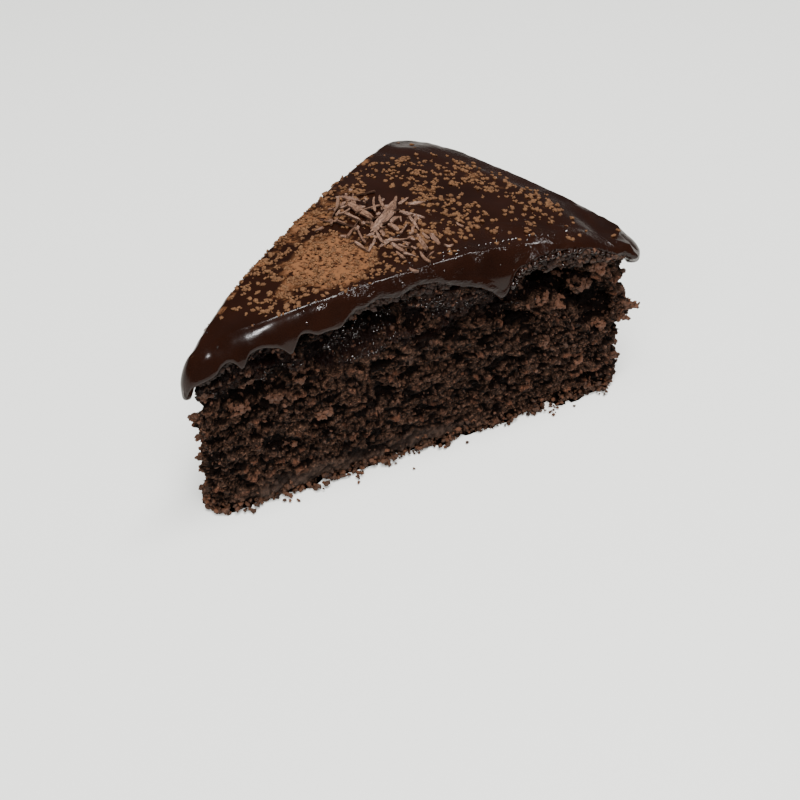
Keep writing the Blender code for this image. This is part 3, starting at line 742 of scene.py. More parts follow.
def makeShavings(look):
    draw = random.Random(shavings["seed"])
    mesh = bmesh.new()
    layers = [mesh.verts.layers.float.new(name) for name in ("tint", "side", "reach")]
    strips = [(Vector(a) * mm, Vector(b) * mm, width * mm) for a, b, width in shavings["single"]]
    for count, wide, length, width in (
            (shavings["count"], shavings["strewnWide"], shavings["length"], shavings["width"]),
            (shavings["bits"], shavings["bitsWide"], shavings["bitLength"], shavings["bitWidth"])):
        for i in range(count):
            strips.append((*strewn(draw, wide, length), draw.uniform(*width) * mm))
    for i, (start, end, width) in enumerate(strips):
        if min(cutDistance(*start), cutDistance(*end)) < shavings["keepOff"]:
            continue
        away = (start.lerp(end, 0.5) / mm - Vector(shavings["heap"])).length
        crowd = math.exp(-(away / shavings["crowdReach"]) ** 2)
        lift = (0.25 + crowd * draw.uniform(0, shavings["piled"])) * mm
        if i < len(shavings["single"]):
            lift = (0.45 + 0.9 * crowd) * mm
        makeShaving(mesh, draw, start, end, width, lift, layers)
    bmesh.ops.recalc_face_normals(mesh, faces=mesh.faces)
    highest = cadBounds[1].z - 0.05 * mm
    for vert in mesh.verts:
        vert.co.z = min(vert.co.z, highest)
    return finishPiece(mesh, "shavings", look, smooth=False)


# Sponge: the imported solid's own torn wall, cut finer and worked into lumps, slits and pores
sponge = {
    "cuts": 4, "lump": 2.3 * mm, "grain": 0.95 * mm, "pore": 4.2 * mm,
    "flat": 1.75,                       # how much wider than tall lumps and slits are
    "crumbs": 8200, "edgeCrumbs": 3200, "seed": 7,
    # jagged clusters that stick out at the point and the rim corner: place round the foot, height,
    # size, and reach in mm
    "spurs": ((3.6, 26.5, 2.2, 1.6), (4.2, 21, 1.6, 0.4), (4.4, 14.5, 2.2, 0.8),
              (4.4, 10.5, 2, 0.7), (4.8, 4, 2.6, 0.8), (131.5, 23.5, 2, 3.6),
              (129.6, 24, 3.2, 5.4), (128.5, 21, 2.6, 3),
              (130.5, 28, 1.6, 1.2), (129, 8, 2.6, 1.6), (128, 13, 2, 0.6), (131, 33.5, 1.6, 0.8)),
    # glaze soaked into the crumb and smoothed it: place, height, half width and half height in mm
    "soaked": ((52, 35.5, 8, 3.2), (45, 33.5, 5, 2.0), (80, 40.5, 8, 4.0), (70, 43.5, 10, 2.5),
               (88, 38.5, 4, 4)),
    # gaps torn into it, given the same way; they are sunk in and painted black as painted shade
    "gaps": (
        (23, 31.9, 7.5, 1.6), (19, 38.7, 2.2, 1.7), (29, 40.9, 3.2, 1.3), (38, 41.2, 1.9, 2.4),
        (55, 41.3, 5.7, 3.5), (44, 38.7, 3.3, 1.0), (107, 37.7, 4.3, 3.1), (121, 28.4, 3.6, 2.6),
        (96, 29.9, 3.5, 2.2), (57, 21.3, 2.1, 1.5), (77, 35.0, 4.1, 1.7), (38, 33.5, 2.2, 1.1),
    ),
    # crumb left standing across the tears: place, height, half width and half height in mm
    "standing": ((115, 34.8, 3.4, 2.4), (103, 33.5, 5, 2)),
    # bigger warm lumps baked into the shown cut: place along, height, width and height in mm
    "nuggets": ((21, 28.5, 5.2, 2.6), (29, 29, 4.2, 2.2), (40.5, 20.5, 4, 2.6), (31, 14, 2.6, 1.6),
                (103, 34, 4, 3), (108, 32, 3.4, 2.6), (99, 37, 3, 2.2), (110, 45, 4.2, 2.8),
                (104, 43.5, 5, 2.6), (112, 43, 4, 2.4), (119, 43, 4, 2.4), (98, 42, 3, 2),
                (115.5, 34.5, 4.4, 3), (118, 40, 4, 3), (107.5, 39.2, 4.4, 3.2),
                (111, 36.5, 3.6, 2.6), (115, 12, 3.4, 2.6), (121, 21, 3.6, 2.6), (104, 22, 3, 2.2),
                (14, 33, 3.4, 1.8), (24, 33.5, 3.8, 2.0), (37, 33, 4.4, 2.4), (64, 27, 3, 1.8)),
}


def shownPlace(point):
    # distance along the shown cut from the cake's middle, and out of its plane
    flat = Vector((point.x, point.y)) - centre
    return flat.dot(cutAlong), flat.dot(cutOut) + cake["shownLean"] * point.z / cake["leanHeight"]


def awayFrom(oval, along, height):
    # 0 in the middle of (place, height, half width, half height) in mm, 1 on its rim
    middlePlace, middleHeight, wide, tall = oval
    return math.hypot((along / mm - middlePlace) / wide, (height / mm - middleHeight) / tall)


def crumbRelief(point, rough):
    # height of the crumb off the torn wall, how much painted shade its pores, slits and cracks get,
    # and a chance value a flake
    wide = Vector((point.x, point.y, point.z * sponge["flat"]))
    warped = wide + noise.noise_vector(wide / (3.1 * mm)) * 1.1 * mm
    near, spots = noise.voronoi(warped / sponge["lump"])
    seam = near[1] - near[0]
    chance = noise.cell(spots[0] * 7.3)
    hang = (warped.z / sponge["lump"] - spots[0].z) * (0.35 + 0.5 * noise.cell(spots[0] * 3.7))
    nearFine, spotsFine = noise.voronoi(warped / sponge["grain"])
    grain = easeStep(0.0, 0.5, nearFine[1] - nearFine[0])
    fineChance = noise.cell(spotsFine[0] * 5.1)
    nearPore, poreSpots = noise.voronoi(wide / sponge["pore"])
    wideOpen = 0.16 + 0.26 * noise.cell(poreSpots[0] * 3.1)
    pore = 1 - easeStep(0.45 * wideOpen, wideOpen, nearPore[0])
    flat = Vector((point.x / 4.2, point.y / 4.2, point.z / 1.1)) / mm
    slit = easeStep(0.24, 0.42, noise.noise(flat))
    crack = 1 - easeStep(0.03, 0.2, seam)
    height = 1.0 * (chance - 0.5) - 0.75 * hang + 0.28 * (grain - 0.5) + 0.3 * (fineChance - 0.5)
    height = height * rough - (1.2 * pore + 1.0 * slit + 0.75 * crack) * (0.3 + 0.7 * rough)
    # painted shade: pores, slits, cracks and the seams between fine grains are marked to be painted
    # dark
    hollowShade = max(pore, slit, 0.9 * crack, (1 - grain) * 0.35 * rough)
    return (height + 0.25) * mm, hollowShade * (0.45 + 0.55 * rough), chance


def gapAt(along, height, point):
    # 1 inside one of the gaps, which are painted black as painted shade, with a ragged edge
    inside = 0.0
    for oval in sponge["gaps"]:
        away = awayFrom(oval, along, height)
        if away < 2:
            away += 0.55 * noise.noise(point / (1.7 * mm))
            inside = max(inside, 1 - easeStep(0.7, 1.15, away))
    return inside


def makeSponge(look):
    mesh = bmesh.new()
    mesh.from_mesh(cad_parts["sponge"].data)
    bmesh.ops.remove_doubles(mesh, verts=mesh.verts, dist=1e-6)
    for vert in mesh.verts:
        vert.tag = 0.2 * mm < vert.co.z
    wall = [edge for edge in mesh.edges if edge.calc_length() < 12 * mm]
    bmesh.ops.smooth_vert(mesh, verts=[vert for vert in mesh.verts if vert.tag], factor=0.25,
                          use_axis_x=True, use_axis_y=True, use_axis_z=True)
    bmesh.ops.subdivide_edges(mesh, edges=wall, cuts=sponge["cuts"], use_grid_fill=True)
    mesh.normal_update()
    names = ("hollowShade", "tint", "wet", "smear")
    layers = (mesh.verts.layers.float.new(name) for name in names)
    hollowShadeLayer, tintLayer, wetLayer, smearLayer = layers
    moves = []
    for vert in mesh.verts:
        point, normal = vert.co, vert.normal
        flatNormal = Vector((normal.x, normal.y, normal.z * 0.4))
        if flatNormal.xy.length < 0.12:
            moves.append(None)
            continue
        flatNormal.normalize()
        along, off = shownPlace(point)
        shown = easeStep(0.3, 0.8, flatNormal.xy.dot(cutOut))
        height = point.z
        patchy = 2.6 * mm * noise.noise(Vector((along / 9, height / 5, 0.3 * mm)) / mm)
        smear = shown * easeStep(1.2 * mm, 2.4 * mm, height)
        smear *= 1 - easeStep(3.5 * mm, 8 * mm, height + patchy)
        smear *= (1 - easeStep(70 * mm, 92 * mm, along)) * easeStep(8 * mm, 22 * mm, along)
        soaked = 0.0
        for oval in sponge["soaked"]:
            soaked = max(soaked, shown * (1 - easeStep(0.5, 1.1, awayFrom(oval, along, height))))
        gap = shown * gapAt(along, height, point)
        relief, hollowShade, tint = crumbRelief(point, 1 - max(0.8 * smear, 0.65 * soaked))
        raised = 0.0
        for oval in sponge["standing"]:
            near = 1 - easeStep(0.6, 1.3, awayFrom(oval, along, height))
            raised = max(raised, shown * near * max(0.0, -off - 1.2 * mm))
        off += raised
        relief += raised - 1.8 * mm * gap
        torn = shown * easeStep(1.8 * mm, 4.0 * mm, -off) if along < 86 * mm else 0
        wetness = easeStep(31 * mm, 36 * mm, height + 4 * mm * noise.noise(point / (9 * mm)))
        wetness *= shown * (1 - easeStep(104 * mm, 116 * mm, along))
        patch = easeStep(-0.35, 0.3, noise.noise(point / (4 * mm)))
        vert[wetLayer] = max(wetness * patch, 0.6 * torn, 0.9 * soaked)
        vert[smearLayer] = smear
        # painted shade: crevices, the torn gaps and the wall set deep into the tears are marked to
        # be painted near black
        vert[hollowShadeLayer] = max(hollowShade, gap, shown * easeStep(1.8 * mm, 4.2 * mm, -off))
        vert[tintLayer] = tint
        moves.append(flatNormal * relief)
    for vert, move in zip(mesh.verts, moves):
        if move:
            onFloor = vert.co.z < 0.05 * mm
            vert.co += move
            vert.co.z = 0.0 if onFloor else max(0.0, vert.co.z - 0.35 * move.length)
    mesh.normal_update()
    surface = BVHTree.FromBMesh(mesh)
    piece = finishPiece(mesh, "tornSponge", look)
    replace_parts(piece, "sponge")
    return piece.data, surface


def onCut(surface, along, height):
    # the torn cut's surface straight in from outside, by place along it and height in mm
    foot = centre + cutAlong * along * mm + cutOut * 12 * mm
    place, normal, _, _ = surface.ray_cast(Vector((*foot, height * mm)), -cutOut.to_3d())
    return place, normal


def edgeCrumbs(draw, shape):
    # coarse crumb between the sponge's top edge and a lip that rises above it
    grains = []
    for i in range(sponge["edgeCrumbs"]):
        k = draw.randrange(len(plan["stations"]))
        station = plan["stations"][k]
        place, hiddenPlace = cutPlaces(station[2])
        byRim = place > 90 * mm
        low = crown(station[0].x, station[0].y, cake["spongeHeight"]) - 1.6 * mm
        high = shape["lip"][k] + 0.2 * mm
        if place > hiddenPlace or place > 130 * mm or high < low + 0.8 * mm:
            continue
        height = draw.uniform(low, high)
        spot = wallPoint(station, height, draw.uniform(-0.3, 0.8 if byRim else 0.4) * mm)
        size = draw.uniform(0.3, 0.85) * mm
        tint = draw.choice((0.0, 0.02, 0.04, 0.08, 0.13, 0.8)) if byRim else 0.04 * draw.random()
        if draw.random() < (0.35 if byRim else 0.6):
            continue
        grains.append((draw.randrange(10), grainMatrix(draw, Vector((*spot, height)), size), tint))
    return grains


def makeCrumbs(data, surface, look, shape):
    # loose lumps that cling all over the torn walls
    draw = random.Random(sponge["seed"])
    faces, weights, total = [], [], 0.0
    for face in data.polygons:
        top = crown(face.center.x, face.center.y, cake["spongeHeight"]) - 1 * mm
        if 0.3 * mm < face.center.z < top and abs(face.normal.z) < 0.85:
            total += face.area
            faces.append(face)
            weights.append(total)
    shapes = lumpShapes(10, 1, 0.85, 17)
    grains = []
    for face in draw.choices(faces, cum_weights=weights, k=sponge["crumbs"]):
        along, off = shownPlace(face.center)
        isShown = face.normal.xy.dot(cutOut) > 0.4
        height = face.center.z
        smeared = isShown and 1.5 * mm < height < 9 * mm and along < 85 * mm
        calm = isShown and height < 32 * mm and 35 * mm < along < 98 * mm
        if draw.random() < (0.93 if smeared else 0.55 if calm else 0):
            continue
        if isShown and gapAt(along, height, face.center) > 0.4 and draw.random() < 0.8:
            continue
        size = (0.18 + 0.42 * draw.random() ** 2.5) * mm
        if smeared or calm:
            size *= 0.75
        if isShown and off < -3 * mm:
            size *= 0.8
        place = face.center + face.normal * size * draw.uniform(-0.2, 0.45)
        place.z = max(place.z, size)
        tint = draw.random()
        grains.append((draw.randrange(10), grainMatrix(draw, place, size, 0.8, face.normal), tint))
    for along, height, width, tall in sponge["nuggets"]:
        tint = draw.uniform(0.6, 1.0) * (1 if height < 41 else 0.1)     # darker close under the lip
        for i in range(int(4 * width * tall)):
            turn, reach = draw.uniform(0, 2 * math.pi), math.sqrt(draw.random()) / 2
            place, normal = onCut(surface, along + width * reach * math.cos(turn),
                                  height + tall * reach * math.sin(turn))
            if place:
                size = draw.uniform(0.3, 0.75) * mm
                rise = (0.9 - 1.4 * reach) * tall * 0.3 * mm
                lie = grainMatrix(draw, place + cutOut.to_3d() * rise, size, 0.8, normal)
                grains.append((draw.randrange(10), lie, tint))
    for place, height, size, reach in sponge["spurs"]:
        along = (place * mm - plan["cutStart"]) % plan["length"]
        station = min(plan["stations"], key=lambda other: abs(other[2] - along))
        for i in range(int(26 + 14 * reach)):
            share = draw.random()
            spot = wallPoint(station, height * mm, (share * (reach + 1.2) - 1.2) * mm)
            wide = size * (1 - 0.6 * share) / 2
            shift = scatterOf(draw) * wide * 0.6 * mm
            grain = draw.uniform(0.28, 0.62) * mm
            turned = grainMatrix(draw, Vector((*spot, height * mm)) + shift, grain)
            grains.append((draw.randrange(10), turned, draw.uniform(0.4, 1.0)))
    grains += edgeCrumbs(draw, shape)
    return scatter("crumbs", shapes, grains, look, smooth=False)


# Foot crumbs: reddish crust squeezed out along the foot, thicker in clusters, and a few loose ones
footCrumbs = {
    "count": 1600, "seed": 29,
    "clusters": (18, 28, 36.5, 46.5, 57, 72, 92, 105, 122),      # along the shown cut, in mm
    "loose": ((46, 4.6, 0.5), (61, 6.0, 0.34), (78, 3.4, 0.4), (112, 3.2, 0.4), (30, 3.8, 0.45)),
}


def makeFootCrumbs(look):
    draw = random.Random(footCrumbs["seed"])
    shapes = lumpShapes(8, 1, 0.95, 31)
    grains = []
    stations = plan["stations"]
    for i in range(footCrumbs["count"]):
        station = draw.choice(stations)
        place = cutPlaces(station[2])[0] / mm
        near = min(abs(place - cluster) for cluster in footCrumbs["clusters"])
        reach = 0.5 + 2.4 * math.exp(-(near / 1.8) ** 2) + roughAt(*station[0], 0.9, 3.5 * mm)
        size = (0.26 + 0.42 * draw.random() ** 2) * mm
        off = draw.uniform(-1.2, max(0.1, reach)) * mm
        piled = 1.2 * mm * max(0.2, 1 - off / (reach * mm + 1 * mm))
        height = size * 0.7 + abs(draw.gauss(0, 1)) * piled
        spot = Vector((*wallPoint(station, 0, off + 0.5 * mm), height))
        grains.append((draw.randrange(8), grainMatrix(draw, spot, size), draw.random()))
    for place, off, size in footCrumbs["loose"]:
        spot = centre + cutAlong * place * mm + cutOut * off * mm
        spot = Vector((*spot, size * 0.6 * mm))
        grains.append((1, grainMatrix(draw, spot, size * mm), draw.random()))
    return scatter("footCrumbs", shapes, grains, look, smooth=False)


# Beads: small glossy bubbles of ganache caught along the lip and in the wet tears
beads = {
    "seed": 13, "from": 90.5 * mm, "to": 123 * mm, "step": 0.9 * mm,
    # rows along the lip: rise above it, how far out, smallest and largest, in mm, and how often
    "rows": ((-0.1, 0.4, 0.55, 0.95, 0.85), (0.8, 0.3, 0.2, 0.4, 0.3), (-1.1, 0.0, 0.35, 0.65, 0.7),
             (-2.1, -0.2, 0.3, 0.5, 0.45)),
    "gleam": (0.60, -0.44, 0.68),           # the way wet films in the tears face
    "shine": (0.33, -0.27, 0.90),           # and the drops on the edge
    # small runs and drops on the top's edge: x, y and size in mm
    "drops": (
        (13.8, -0.0, 0.30), (15.0, -0.5, 0.26), (16.4, 8.5, 0.30), (17.6, 7.3, 0.26),
        (18.7, 6.1, 0.24), (18.1, 11.3, 0.30), (19.2, 10.1, 0.28), (20.1, 8.7, 0.26),
        (17.2, 9.8, 0.26), (18.7, 13.8, 0.34), (20.2, 4.8, 0.20), (15.7, -2.6, 0.24),
        (16.8, -2.0, 0.22), (16.7, -5.5, 0.26), (20.1, 16.9, 0.20), (20.7, 18.8, 0.22),
        (21.0, 20.3, 0.24), (21.4, 22.0, 0.26), (22.0, 23.5, 0.26), (22.6, 25.0, 0.30),
        (22.9, 26.2, 0.28), (23.0, 27.3, 0.30), (26.5, 27.2, 0.26), (25.3, 29.0, 0.28),
        (24.3, 31.1, 0.26), (25.3, 32.1, 0.22), (26.2, 33.7, 0.22), (27.0, 35.1, 0.20),
        (27.9, 36.7, 0.22), (27.8, 41.7, 0.36), (7.9, -27.7, 0.30), (7.9, -25.7, 0.34),
        (9.4, -28.2, 0.26), (6.8, -28.3, 0.22), (0.4, -46.2, 0.26), (-4.6, -45.3, 0.20),
        (3.0, -37.7, 0.16), (24.5, 9.2, 0.16), (26.1, 18.3, 0.14),
    ),
    # wet places in the tears: place along the cut, height, width and height in mm, and how many
    "wet": ((54, 38.5, 16, 4, 170), (51, 34.5, 14, 3, 90), (68, 43.5, 12, 3, 70),
            (77, 40, 12, 4, 70), (30, 35.5, 14, 3, 50), (13, 33.5, 12, 3, 40), (97, 36, 8, 4, 20),
            (110, 44, 22, 3, 60)),
}


def makeBeads(look, surface, shape, coat):
    draw = random.Random(beads["seed"])
    balls = lumpShapes(1, 3, 0, 0) + lumpShapes(1, 2, 0, 0)     # the second, coarser, is for films
    gleam, shine = Vector(beads["gleam"]), Vector(beads["shine"])
    grains = []
    for rise, out, smallest, largest, often in beads["rows"]:
        walked = beads["from"] + draw.uniform(0, 1) * mm
        for station, lip, lipOut in zip(plan["stations"], shape["lip"], shape["lipOut"]):
            place = cutPlaces(station[2])[0]
            if not walked < place < beads["to"]:
                continue
            walked = place + beads["step"] * draw.uniform(0.8, 1.9)
            fade = 1 - 0.45 * easeStep(104 * mm, 122 * mm, place)
            if draw.random() > often * fade:
                continue
            size = draw.uniform(smallest, largest) * mm * fade
            height = lip + (rise + draw.uniform(-0.25, 0.25)) * mm
            spot = wallPoint(station, height, lipOut + (out + draw.uniform(-0.3, 0.1)) * mm)
            grains.append((0, grainMatrix(draw, Vector((*spot, height)), size), draw.random()))
    for x, y, size in beads["drops"]:
        place, normal = onCoat(coat, x * mm, y * mm)
        if place:
            film = grainMatrix(draw, place + normal * 0.1 * mm, size * 1.25 * mm, 0.3, shine)
            grains.append((0, film, draw.random()))
    for along, height, width, tall, count in beads["wet"]:
        for i in range(count):
            place, normal = onCut(surface, along + draw.uniform(-0.5, 0.5) * width,
                                  height + draw.uniform(-0.5, 0.5) * tall)
            if place:
                size = draw.uniform(0.2, 0.52) * mm
                way = gleam + scatterOf(draw) * 0.1
                film = grainMatrix(draw, place + normal * size * 0.4, size, 0.3, way)
                grains.append((1, film, draw.random()))
    return scatter("glossyBeads", balls, grains, look)


# Finishes of the pieces

def multiplied(tree, first, second):
    return mathsOf(tree, "MULTIPLY", first, second)


def bumped(tree, shader, height, strength, distance):
    bump = put(tree, "ShaderNodeBump", Strength=strength, Distance=distance, Height=height)
    join(tree, bump.outputs["Normal"], shader.inputs["Normal"])


def slitsOf(tree, place, size, gape):
    # torn slits between flakes, wider than tall: 1 in a slit, 0 on a flake; they sink the bump, and
    # the crumb's colour paints them dark as painted shade
    warp = put(tree, "ShaderNodeTexNoise", Vector=place, Scale=420, Detail=3, Roughness=0.6)
    shift = put(tree, "ShaderNodeVectorMath", operation="SCALE", Scale=size * 0.9)
    tree.links.new(warp.outputs["Color"], shift.inputs[0])
    warped = put(tree, "ShaderNodeVectorMath", operation="ADD")
    tree.links.new(place, warped.inputs[0])
    tree.links.new(shift.outputs[0], warped.inputs[1])
    cells = put(tree, "ShaderNodeTexVoronoi", Scale=1 / size, feature="DISTANCE_TO_EDGE")
    tree.links.new(warped.outputs[0], cells.inputs["Vector"])
    return ranged(tree, cells.outputs["Distance"], gape * 0.25, gape, 1.0, 0.0)


def spongeLook():
    look, tree, shader = newLook("chocolateCrumb")
    place = mapped(tree, (1, 1, 1.9))
    fine = noiseOf(tree, place, 1500, 4, 0.65)
    broad = noiseOf(tree, mapped(tree, (1, 1, 1)), 130, 3)
    names = ("hollowShade", "tint", "wet", "smear")
    hollowShade, tint, wet, smear = (attributeOf(tree, name) for name in names)
    matrix = ramp(tree, fine, (0.34, (0.0085, 0.0043, 0.0028)), (0.5, (0.055, 0.0275, 0.017)),
                  (0.66, (0.195, 0.100, 0.062)))
    warmer = ranged(tree, tint, 0.62, 1.0, 0.0, 0.65)
    warm = blendColour(tree, warmer, matrix, (0.16, 0.060, 0.031))
    duller = ranged(tree, broad, 0.45, 0.75, 0.0, 0.35)
    drift = blendColour(tree, duller, warm, (0.040, 0.0225, 0.0165))
    torn = ranged(tree, noiseOf(tree, place, 260, 2), 0.42, 0.56, 0.0, 1.0)
    slits = multiplied(tree, slitsOf(tree, place, 1.7 * mm, 0.13), torn)
    pits = slitsOf(tree, place, 0.75 * mm, 0.10)
    calm = mathsOf(tree, "SUBTRACT", 1.0, multiplied(tree, smear, 0.5))
    gashes = mathsOf(tree, "MAXIMUM", slits, multiplied(tree, pits, 0.6))
    cuts = multiplied(tree, gashes, calm)
    # painted shade: the hollow shade attribute and the drawn slits and pits darken the crumb
    # towards near black (0.0020, 0.0009, 0.0006)
    hollowShading = ranged(tree, hollowShade, 0.15, 0.75, 0.0, 1.0)
    deep = mathsOf(tree, "MAXIMUM", hollowShading, multiplied(tree, cuts, 0.8))
    smooth = blendColour(tree, multiplied(tree, smear, 0.85), drift, (0.036, 0.0225, 0.0165))
    colour = blendColour(tree, multiplied(tree, deep, 0.95), smooth, (0.0020, 0.0009, 0.0006))
    soaking = ranged(tree, wet, 0.15, 0.8, 0.0, 0.8)
    soaked = blendColour(tree, soaking, colour, (0.0085, 0.0031, 0.0025))
    join(tree, soaked, shader.inputs["Base Color"])
    dry = ranged(tree, smear, 0.0, 1.0, 0.8, 0.6)
    damp = ranged(tree, wet, 0.3, 1.0, 0.85, 0.3)
    join(tree, mathsOf(tree, "MINIMUM", dry, damp), shader.inputs["Roughness"])
    shader.inputs["Specular IOR Level"].default_value = 0.22
    grain = noiseOf(tree, place, 2400, 3, 0.65)
    grainy = multiplied(tree, grain, calm)
    height = mathsOf(tree, "SUBTRACT", grainy, multiplied(tree, cuts, 1.6))
    bumped(tree, shader, height, 0.8, 0.25 * mm)
    return look


def crumbLook(name, dark, pale, red):
    look, tree, shader = newLook(name)
    place = mapped(tree, (1, 1, 1))
    tint = attributeOf(tree, "tint")
    fine = noiseOf(tree, place, 2100, 3, 0.6)
    base = blendColour(tree, ranged(tree, fine, 0.3, 0.7, 0.0, 1.0), dark, pale)
    colour = blendColour(tree, ranged(tree, tint, 0.45, 1.0, 0.0, 0.85), base, red)
    darker = ranged(tree, tint, 0.0, 0.14, 0.85, 0.0)
    colour = blendColour(tree, darker, colour, (0.0065, 0.0026, 0.0020))
    join(tree, colour, shader.inputs["Base Color"])
    shader.inputs["Roughness"].default_value = 0.72
    bumped(tree, shader, fine, 0.6, 0.15 * mm)
    return look


def ganacheLook():
    look, tree, shader = newLook("glossyGanache")
    place = mapped(tree, (1, 1, 1))
    dust = attributeOf(tree, "dust")
    speck = noiseOf(tree, place, 900, 3, 0.6)
    powder = multiplied(tree, ranged(tree, dust, 1.15, 1.6, 0.0, 1.0),
                     ranged(tree, speck, 0.38, 0.55, 0.0, 1.0))
    broad = noiseOf(tree, place, 90, 2)
    dark = ramp(tree, broad, (0.3, (0.0085, 0.0026, 0.0013)), (0.7, (0.0135, 0.0041, 0.0020)))
    join(tree, blendColour(tree, powder, dark, (0.138, 0.058, 0.0232)), shader.inputs["Base Color"])
    smudge = ranged(tree, noiseOf(tree, place, 260, 4), 0.35, 0.75, 0.10, 0.26)
    join(tree, mathsOf(tree, "MAXIMUM", smudge, multiplied(tree, powder, 0.9)),
         shader.inputs["Roughness"])
    shader.inputs["Specular IOR Level"].default_value = 0.34
    pimpled = ranged(tree, attributeOf(tree, "pimples"), 0.0, 0.8, 0.05, 1.0)
    stretched = noiseOf(tree, mapped(tree, (1, 1, 2.4)), 330, 2)
    film = multiplied(tree, stretched, attributeOf(tree, "strands"))
    ripple = multiplied(tree, noiseOf(tree, place, 950, 3), pimpled)
    ripple = mathsOf(tree, "ADD", ripple, multiplied(tree, film, 1.6))
    bumped(tree, shader, ripple, 0.8, 0.5 * mm)
    return look


def beadLook():
    look, tree, shader = newLook("ganacheBeads")
    place = mapped(tree, (1, 1, 1))
    dark = ramp(tree, noiseOf(tree, place, 700), (0.3, (0.007, 0.003, 0.002)),
                (0.7, (0.015, 0.006, 0.004)))
    join(tree, dark, shader.inputs["Base Color"])
    shader.inputs["Roughness"].default_value = 0.1
    shader.inputs["Specular IOR Level"].default_value = 0.6
    return look


def cocoaLook():
    look, tree, shader = newLook("siftedCocoa")
    tint = attributeOf(tree, "tint")
    fine = noiseOf(tree, mapped(tree, (1, 1, 1)), 2400, 3, 0.6)
    base = blendColour(tree, ranged(tree, fine, 0.3, 0.75, 0.0, 1.0), (0.075, 0.033, 0.0142),
                       (0.160, 0.079, 0.0355))
    damp = ranged(tree, tint, 0.0, 0.5, 0.55, 0.0)
    join(tree, blendColour(tree, damp, base, (0.060, 0.027, 0.0125)), shader.inputs["Base Color"])
    shader.inputs["Roughness"].default_value = 0.95
    bumped(tree, shader, fine, 0.45, 0.12 * mm)
    return look


def shavingLook():
    look, tree, shader = newLook("shavedChocolate")
    tint, side, reach = (attributeOf(tree, name) for name in ("tint", "side", "reach"))
    groove = put(tree, "ShaderNodeCombineXYZ", X=multiplied(tree, side, 2.2),
                 Y=multiplied(tree, tint, 60.0), Z=multiplied(tree, reach, 0.8))
    grooves = noiseOf(tree, groove.outputs["Vector"], 1.6, 2)
    fine = noiseOf(tree, mapped(tree, (1, 1, 1)), 1500, 3, 0.6)
    height = mathsOf(tree, "ADD", grooves, multiplied(tree, fine, 0.4))
    base = blendColour(tree, ranged(tree, height, 0.54, 0.88, 0.0, 1.0), (0.050, 0.025, 0.016),
                       (0.215, 0.122, 0.079))
    tinted = blendColour(tree, ranged(tree, tint, 0.0, 0.6, 0.5, 0.0), base, (0.085, 0.042, 0.028))
    # painted shade: each strip is darker along its long edges and sides
    edge = ranged(tree, mathsOf(tree, "ABSOLUTE", side, 0.0), 0.8, 1.0, 0.0, 0.7)
    join(tree, blendColour(tree, edge, tinted, (0.05, 0.023, 0.015)), shader.inputs["Base Color"])
    shader.inputs["Roughness"].default_value = 0.5
    bumped(tree, shader, height, 0.5, 0.2 * mm)
    return look


# Stage, light and camera
stage = {
    "floor": 3.0, "floorColour": (0.865, 0.87, 0.83), "floorReflected": (0.44, 0.43, 0.40),
    "camera": (0.13192, -0.11937, 0.170), "pitch": 43.816, "azimuth": 45.5, "lens": 39.015,
    "room": (0.93, 0.96, 1.0), "roomLight": 0.08, "roomSeen": 1.2,
    # name, place, size, watts, target, and whether glossy chocolate mirrors the lamp itself
    "lamps": (
        ("key", (0.05, 0.3, 1.2), (0.09, 0.9), 12, (0.05, 0.3, 0), True),
        ("ceiling", (0.3, -0.15, 1.7), (1.5, 1.5), 60, (0, 0, 0), False),
        ("front", (0.3, -1.25, 0.85), (0.8, 0.6), 10, (0, 0, 0), False),
        ("glint", (0.8, -0.5, 1.0), (0.12, 0.12), 4, (0, 0, 0.03), True),
    ),
}


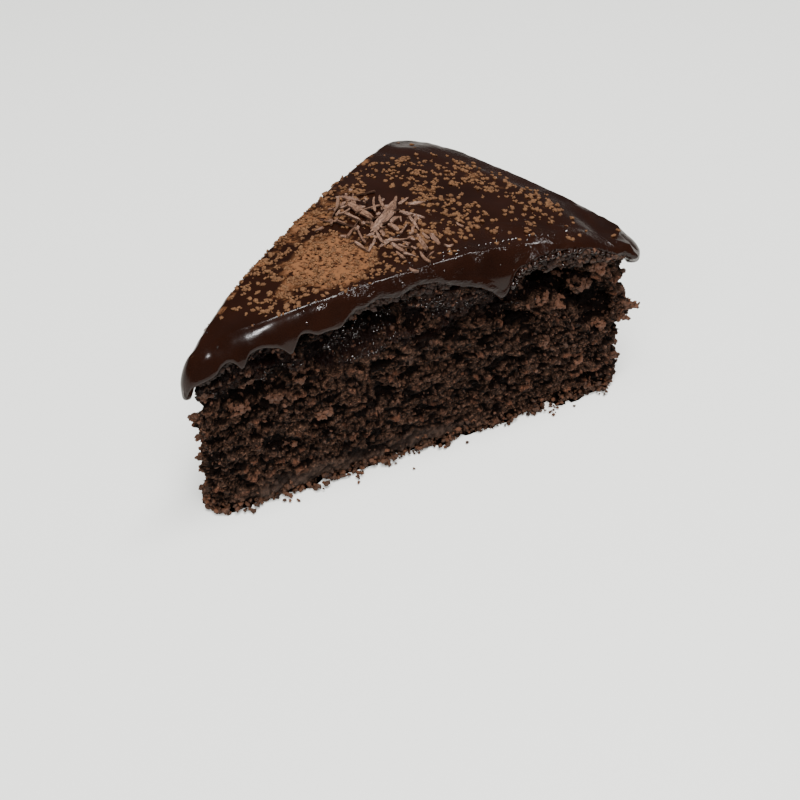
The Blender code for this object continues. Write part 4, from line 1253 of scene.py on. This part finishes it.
def makeStage():
    mesh = bmesh.new()
    bmesh.ops.create_grid(mesh, x_segments=2, y_segments=2, size=stage["floor"])
    data = bpy.data.meshes.new("floor")
    mesh.to_mesh(data)
    mesh.free()
    look, tree, shader = newLook("paleFloor")
    # the pale floor would light the glaze too strongly, so it is dimmer in reflections
    reflected = put(tree, "ShaderNodeLightPath").outputs["Is Glossy Ray"]
    join(tree, blendColour(tree, reflected, stage["floorColour"], stage["floorReflected"]),
         shader.inputs["Base Color"])
    shader.inputs["Roughness"].default_value = 0.45
    data.materials.append(look)
    floor = bpy.data.objects.new("floor", data)
    floor.location.z = -0.0002
    bpy.context.scene.collection.objects.link(floor)
    floor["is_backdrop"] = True
    world = bpy.data.worlds.new("softRoom")
    world.use_nodes = True
    backdrop = world.node_tree.nodes["Background"]
    backdrop.inputs["Color"].default_value = (*stage["room"], 1)
    # the room looks pale but gives little light of its own
    seen = put(world.node_tree, "ShaderNodeLightPath").outputs["Is Camera Ray"]
    strength = ranged(world.node_tree, seen, 0, 1, stage["roomLight"], stage["roomSeen"])
    join(world.node_tree, strength, backdrop.inputs["Strength"])
    bpy.context.scene.world = world


def softLight(name, place, size, power, target, mirrored):
    lamp = bpy.data.lights.new(name, "AREA")
    lamp.shape, lamp.size, lamp.size_y = "RECTANGLE", size[0], size[1]
    lamp.energy = power
    light = bpy.data.objects.new(name, lamp)
    light.location = place
    aim = Vector(target) - Vector(place)
    if aim.xy.length > 1e-6:
        light.rotation_euler = aim.to_track_quat("-Z", "Y").to_euler()
    light.visible_glossy = mirrored
    bpy.context.scene.collection.objects.link(light)


def makeCamera():
    camera = bpy.data.cameras.new("view")
    camera.lens, camera.sensor_width, camera.clip_start = stage["lens"], 36, 0.01
    viewer = bpy.data.objects.new("view", camera)
    viewer.location = stage["camera"]
    viewer.rotation_euler = (math.radians(90 - stage["pitch"]), 0, math.radians(stage["azimuth"]))
    bpy.context.scene.collection.objects.link(viewer)
    bpy.context.scene.camera = viewer


makeStage()
for lamp in stage["lamps"]:
    softLight(*lamp)
makeCamera()
print("stage ready")
coatShape = shapeLip()
coatSurface = makeGanache(ganacheLook(), coatShape)
makeCocoa(cocoaLook(), coatSurface)
makeShavings(shavingLook())
spongeData, spongeSurface = makeSponge(spongeLook())
makeBeads(beadLook(), spongeSurface, coatShape, coatSurface)
looseCrumb = crumbLook("looseCrumb", (0.014, 0.0066, 0.0042), (0.092, 0.0445, 0.027),
                       (0.105, 0.044, 0.024))
makeCrumbs(spongeData, spongeSurface, looseCrumb, coatShape)
makeFootCrumbs(crumbLook("crustCrumb", (0.014, 0.0062, 0.0036), (0.066, 0.031, 0.017),
                         (0.088, 0.034, 0.016)))

for box in (cadBounds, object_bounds()):
    json.dumps([list(corner) for corner in box]) + "\n"
